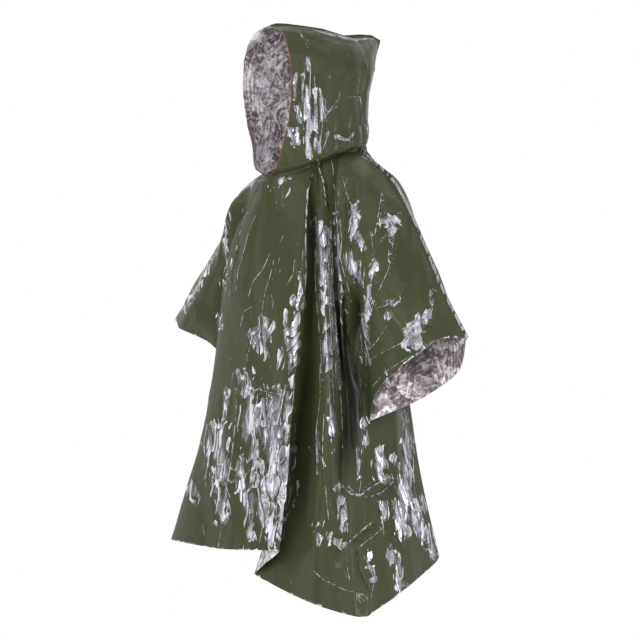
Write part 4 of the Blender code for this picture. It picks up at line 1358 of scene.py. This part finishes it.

# Patches and creases of the lining, where it shows in the hood, the cuff and the hem. The patches
# brighten its tone as painted light, the widest over the inside of the hood, and the creases get painted
# highlight lines.
LINING_PATCHES = (
    (60, 0.45, 0, (-130, 290), (-125, 150), (-120, -30)),
    (20, 1.3, 0, (-160, 190), (-112, 184)),
    (14, 1.3, 0, (-164, 262), (-130, 290)),
    (11, 1.5, 0, (-160, 64), (-136, 44), (-108, 22)),
    (9, 0.9, 0, (-150, 262), (-128, 286)),
    (8, 0.8, 0, (-130, -10), (-104, 0)),
    (12, 1.4, 0, (-110, -876), (-80, -872)),
    (10, 0.8, 0, (160, -445), (190, -470)),
    (9, 0.8, 0, (240, -400), (280, -410)),
)
LINING_CREASES = (
    (5, 3.0, (-160, 62), (-140, 46), (-108, 22)),
    (4, 1.5, (-150, 290), (-128, 284), (-112, 268), (-100, 240)),
    (4, 1.5, (-140, 300), (-118, 292), (-104, 276), (-92, 250)),
    (4, 1.5, (-162, 268), (-140, 270), (-120, 258), (-106, 232)),
    (4, 1.5, (-164, 205), (-140, 212), (-112, 202), (-96, 190)),
    (4, 1.5, (-164, 176), (-140, 168), (-110, 172)),
    (4, 1.5, (-162, 140), (-138, 150), (-112, 140), (-92, 146)),
    (4, 1.5, (-162, 100), (-140, 108), (-112, 96), (-92, 100)),
    (4, 1.5, (-132, 0), (-116, 16), (-96, 12)),
)


def press_marks(piece, mirror, seed):
    """Relief of a piece, and the marks of its outer side and its lining."""
    points = piece.points * mirror
    normals = piece.normals * mirror
    outer = Side(points, normals)
    outer.look_from(VIEW_ANGLE, 1, 0, *FACING)
    shown = outer.facing
    outer.press_patches(PATCHES)
    outer.press_creases(CREASES)
    outer.paint_fold_shade(SHADED_FOLDS)
    for turn, mirrored, raised in HIDDEN_SIDES:
        outer.look_from(VIEW_ANGLE + np.radians(turn), mirrored, raised, *HIDDEN_FACING)
        outer.facing *= 1 - shown
        outer.press_patches(PATCHES)
        outer.press_creases(CREASES)
    lining = Side(points, -normals)
    lining.look_from(VIEW_ANGLE, 1, 0, *FACING)
    lining.press_patches(LINING_PATCHES)
    lining.press_creases(LINING_CREASES)
    across, down = piece.cloth_places()
    slack = facets(across / SLACK_FACETS[0], down / SLACK_FACETS[1], seed) * SLACK_DEPTH
    crushed = facets(across / CRUSHED_FACETS[0], down / CRUSHED_FACETS[1], seed + 5) * CRUSHED_DEPTH
    relief = outer.relief - lining.relief + slack + smoothstep(outer.crumple, *CRUMPLED) * crushed
    return relief, outer, lining


def both_layers(outer, lining, rim):
    """The marks of each point of the outer sheet, then of the lining."""
    marks = {"rim": np.concatenate([rim, rim])}
    for name in ("crumple", "crease", "near_crease", "hollow"):
        marks[name] = np.concatenate([getattr(outer, name), getattr(lining, name)])
    return marks


def make_panel(name, folds, facing, crown, seed, materials):
    panel = Panel(folds, facing, crown)
    relief, outer, lining = press_marks(panel, 1, seed)
    panel.press(relief)
    panel.fit_seams()
    flanges = np.delete(panel.index[:2], np.s_[panel.neck_start : panel.neck_end + 1], axis=1)
    outer.mark_edge(flanges.ravel())
    hem = panel.index[-1][panel.index[-1] >= 0]
    cuffs = panel.index[1 : panel.underarm_row + 2, (0, -1)].ravel()
    for edge in (hem, cuffs):
        outer.crumple[edge] = np.maximum(outer.crumple[edge], EDGE_CRUMPLE)
    marks = both_layers(outer, lining, np.zeros(len(relief)))
    return film_object(name, panel.points, panel.offsets, panel.triangles, marks, materials)


def make_hood(name, side, seed, materials):
    half = HoodHalf(side)
    relief, outer, lining = press_marks(half, half.mirror, seed)
    half.press(relief)
    half.fit_seams()
    outer.mark_edge(half.index[half.above :, -1])
    rim = np.zeros(len(relief))
    rim[half.index[:, 0]] = 1
    return half.film(name, both_layers(outer, lining, rim), materials)


def main():
    bpy.context.scene.view_settings.view_transform = "Standard"
    looks = {"olive_film": outer_film, "metallised_lining": lining_film, "cut_edge": cut_edge}
    materials = [new_material(name, look) for name, look in looks.items()]
    made = {
        "front_panel": make_panel("front_film", FRONT_FOLDS, -1, SHOULDER_CROWN["front"], 10, materials),
        "back_panel": make_panel("back_film", BACK_FOLDS, 1, SHOULDER_CROWN["back"], 20, materials),
        "hood_left": make_hood("hood_left_film", 1, 30, materials),
        "hood_right": make_hood("hood_right_film", -1, 40, materials),
    }
    for node_name, piece in made.items():
        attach(piece, "root")
        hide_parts(node_name)
    add_floor()
    for columns in SOFTBOXES:
        add_softbox(*columns)
    add_world()
    add_camera()


main()
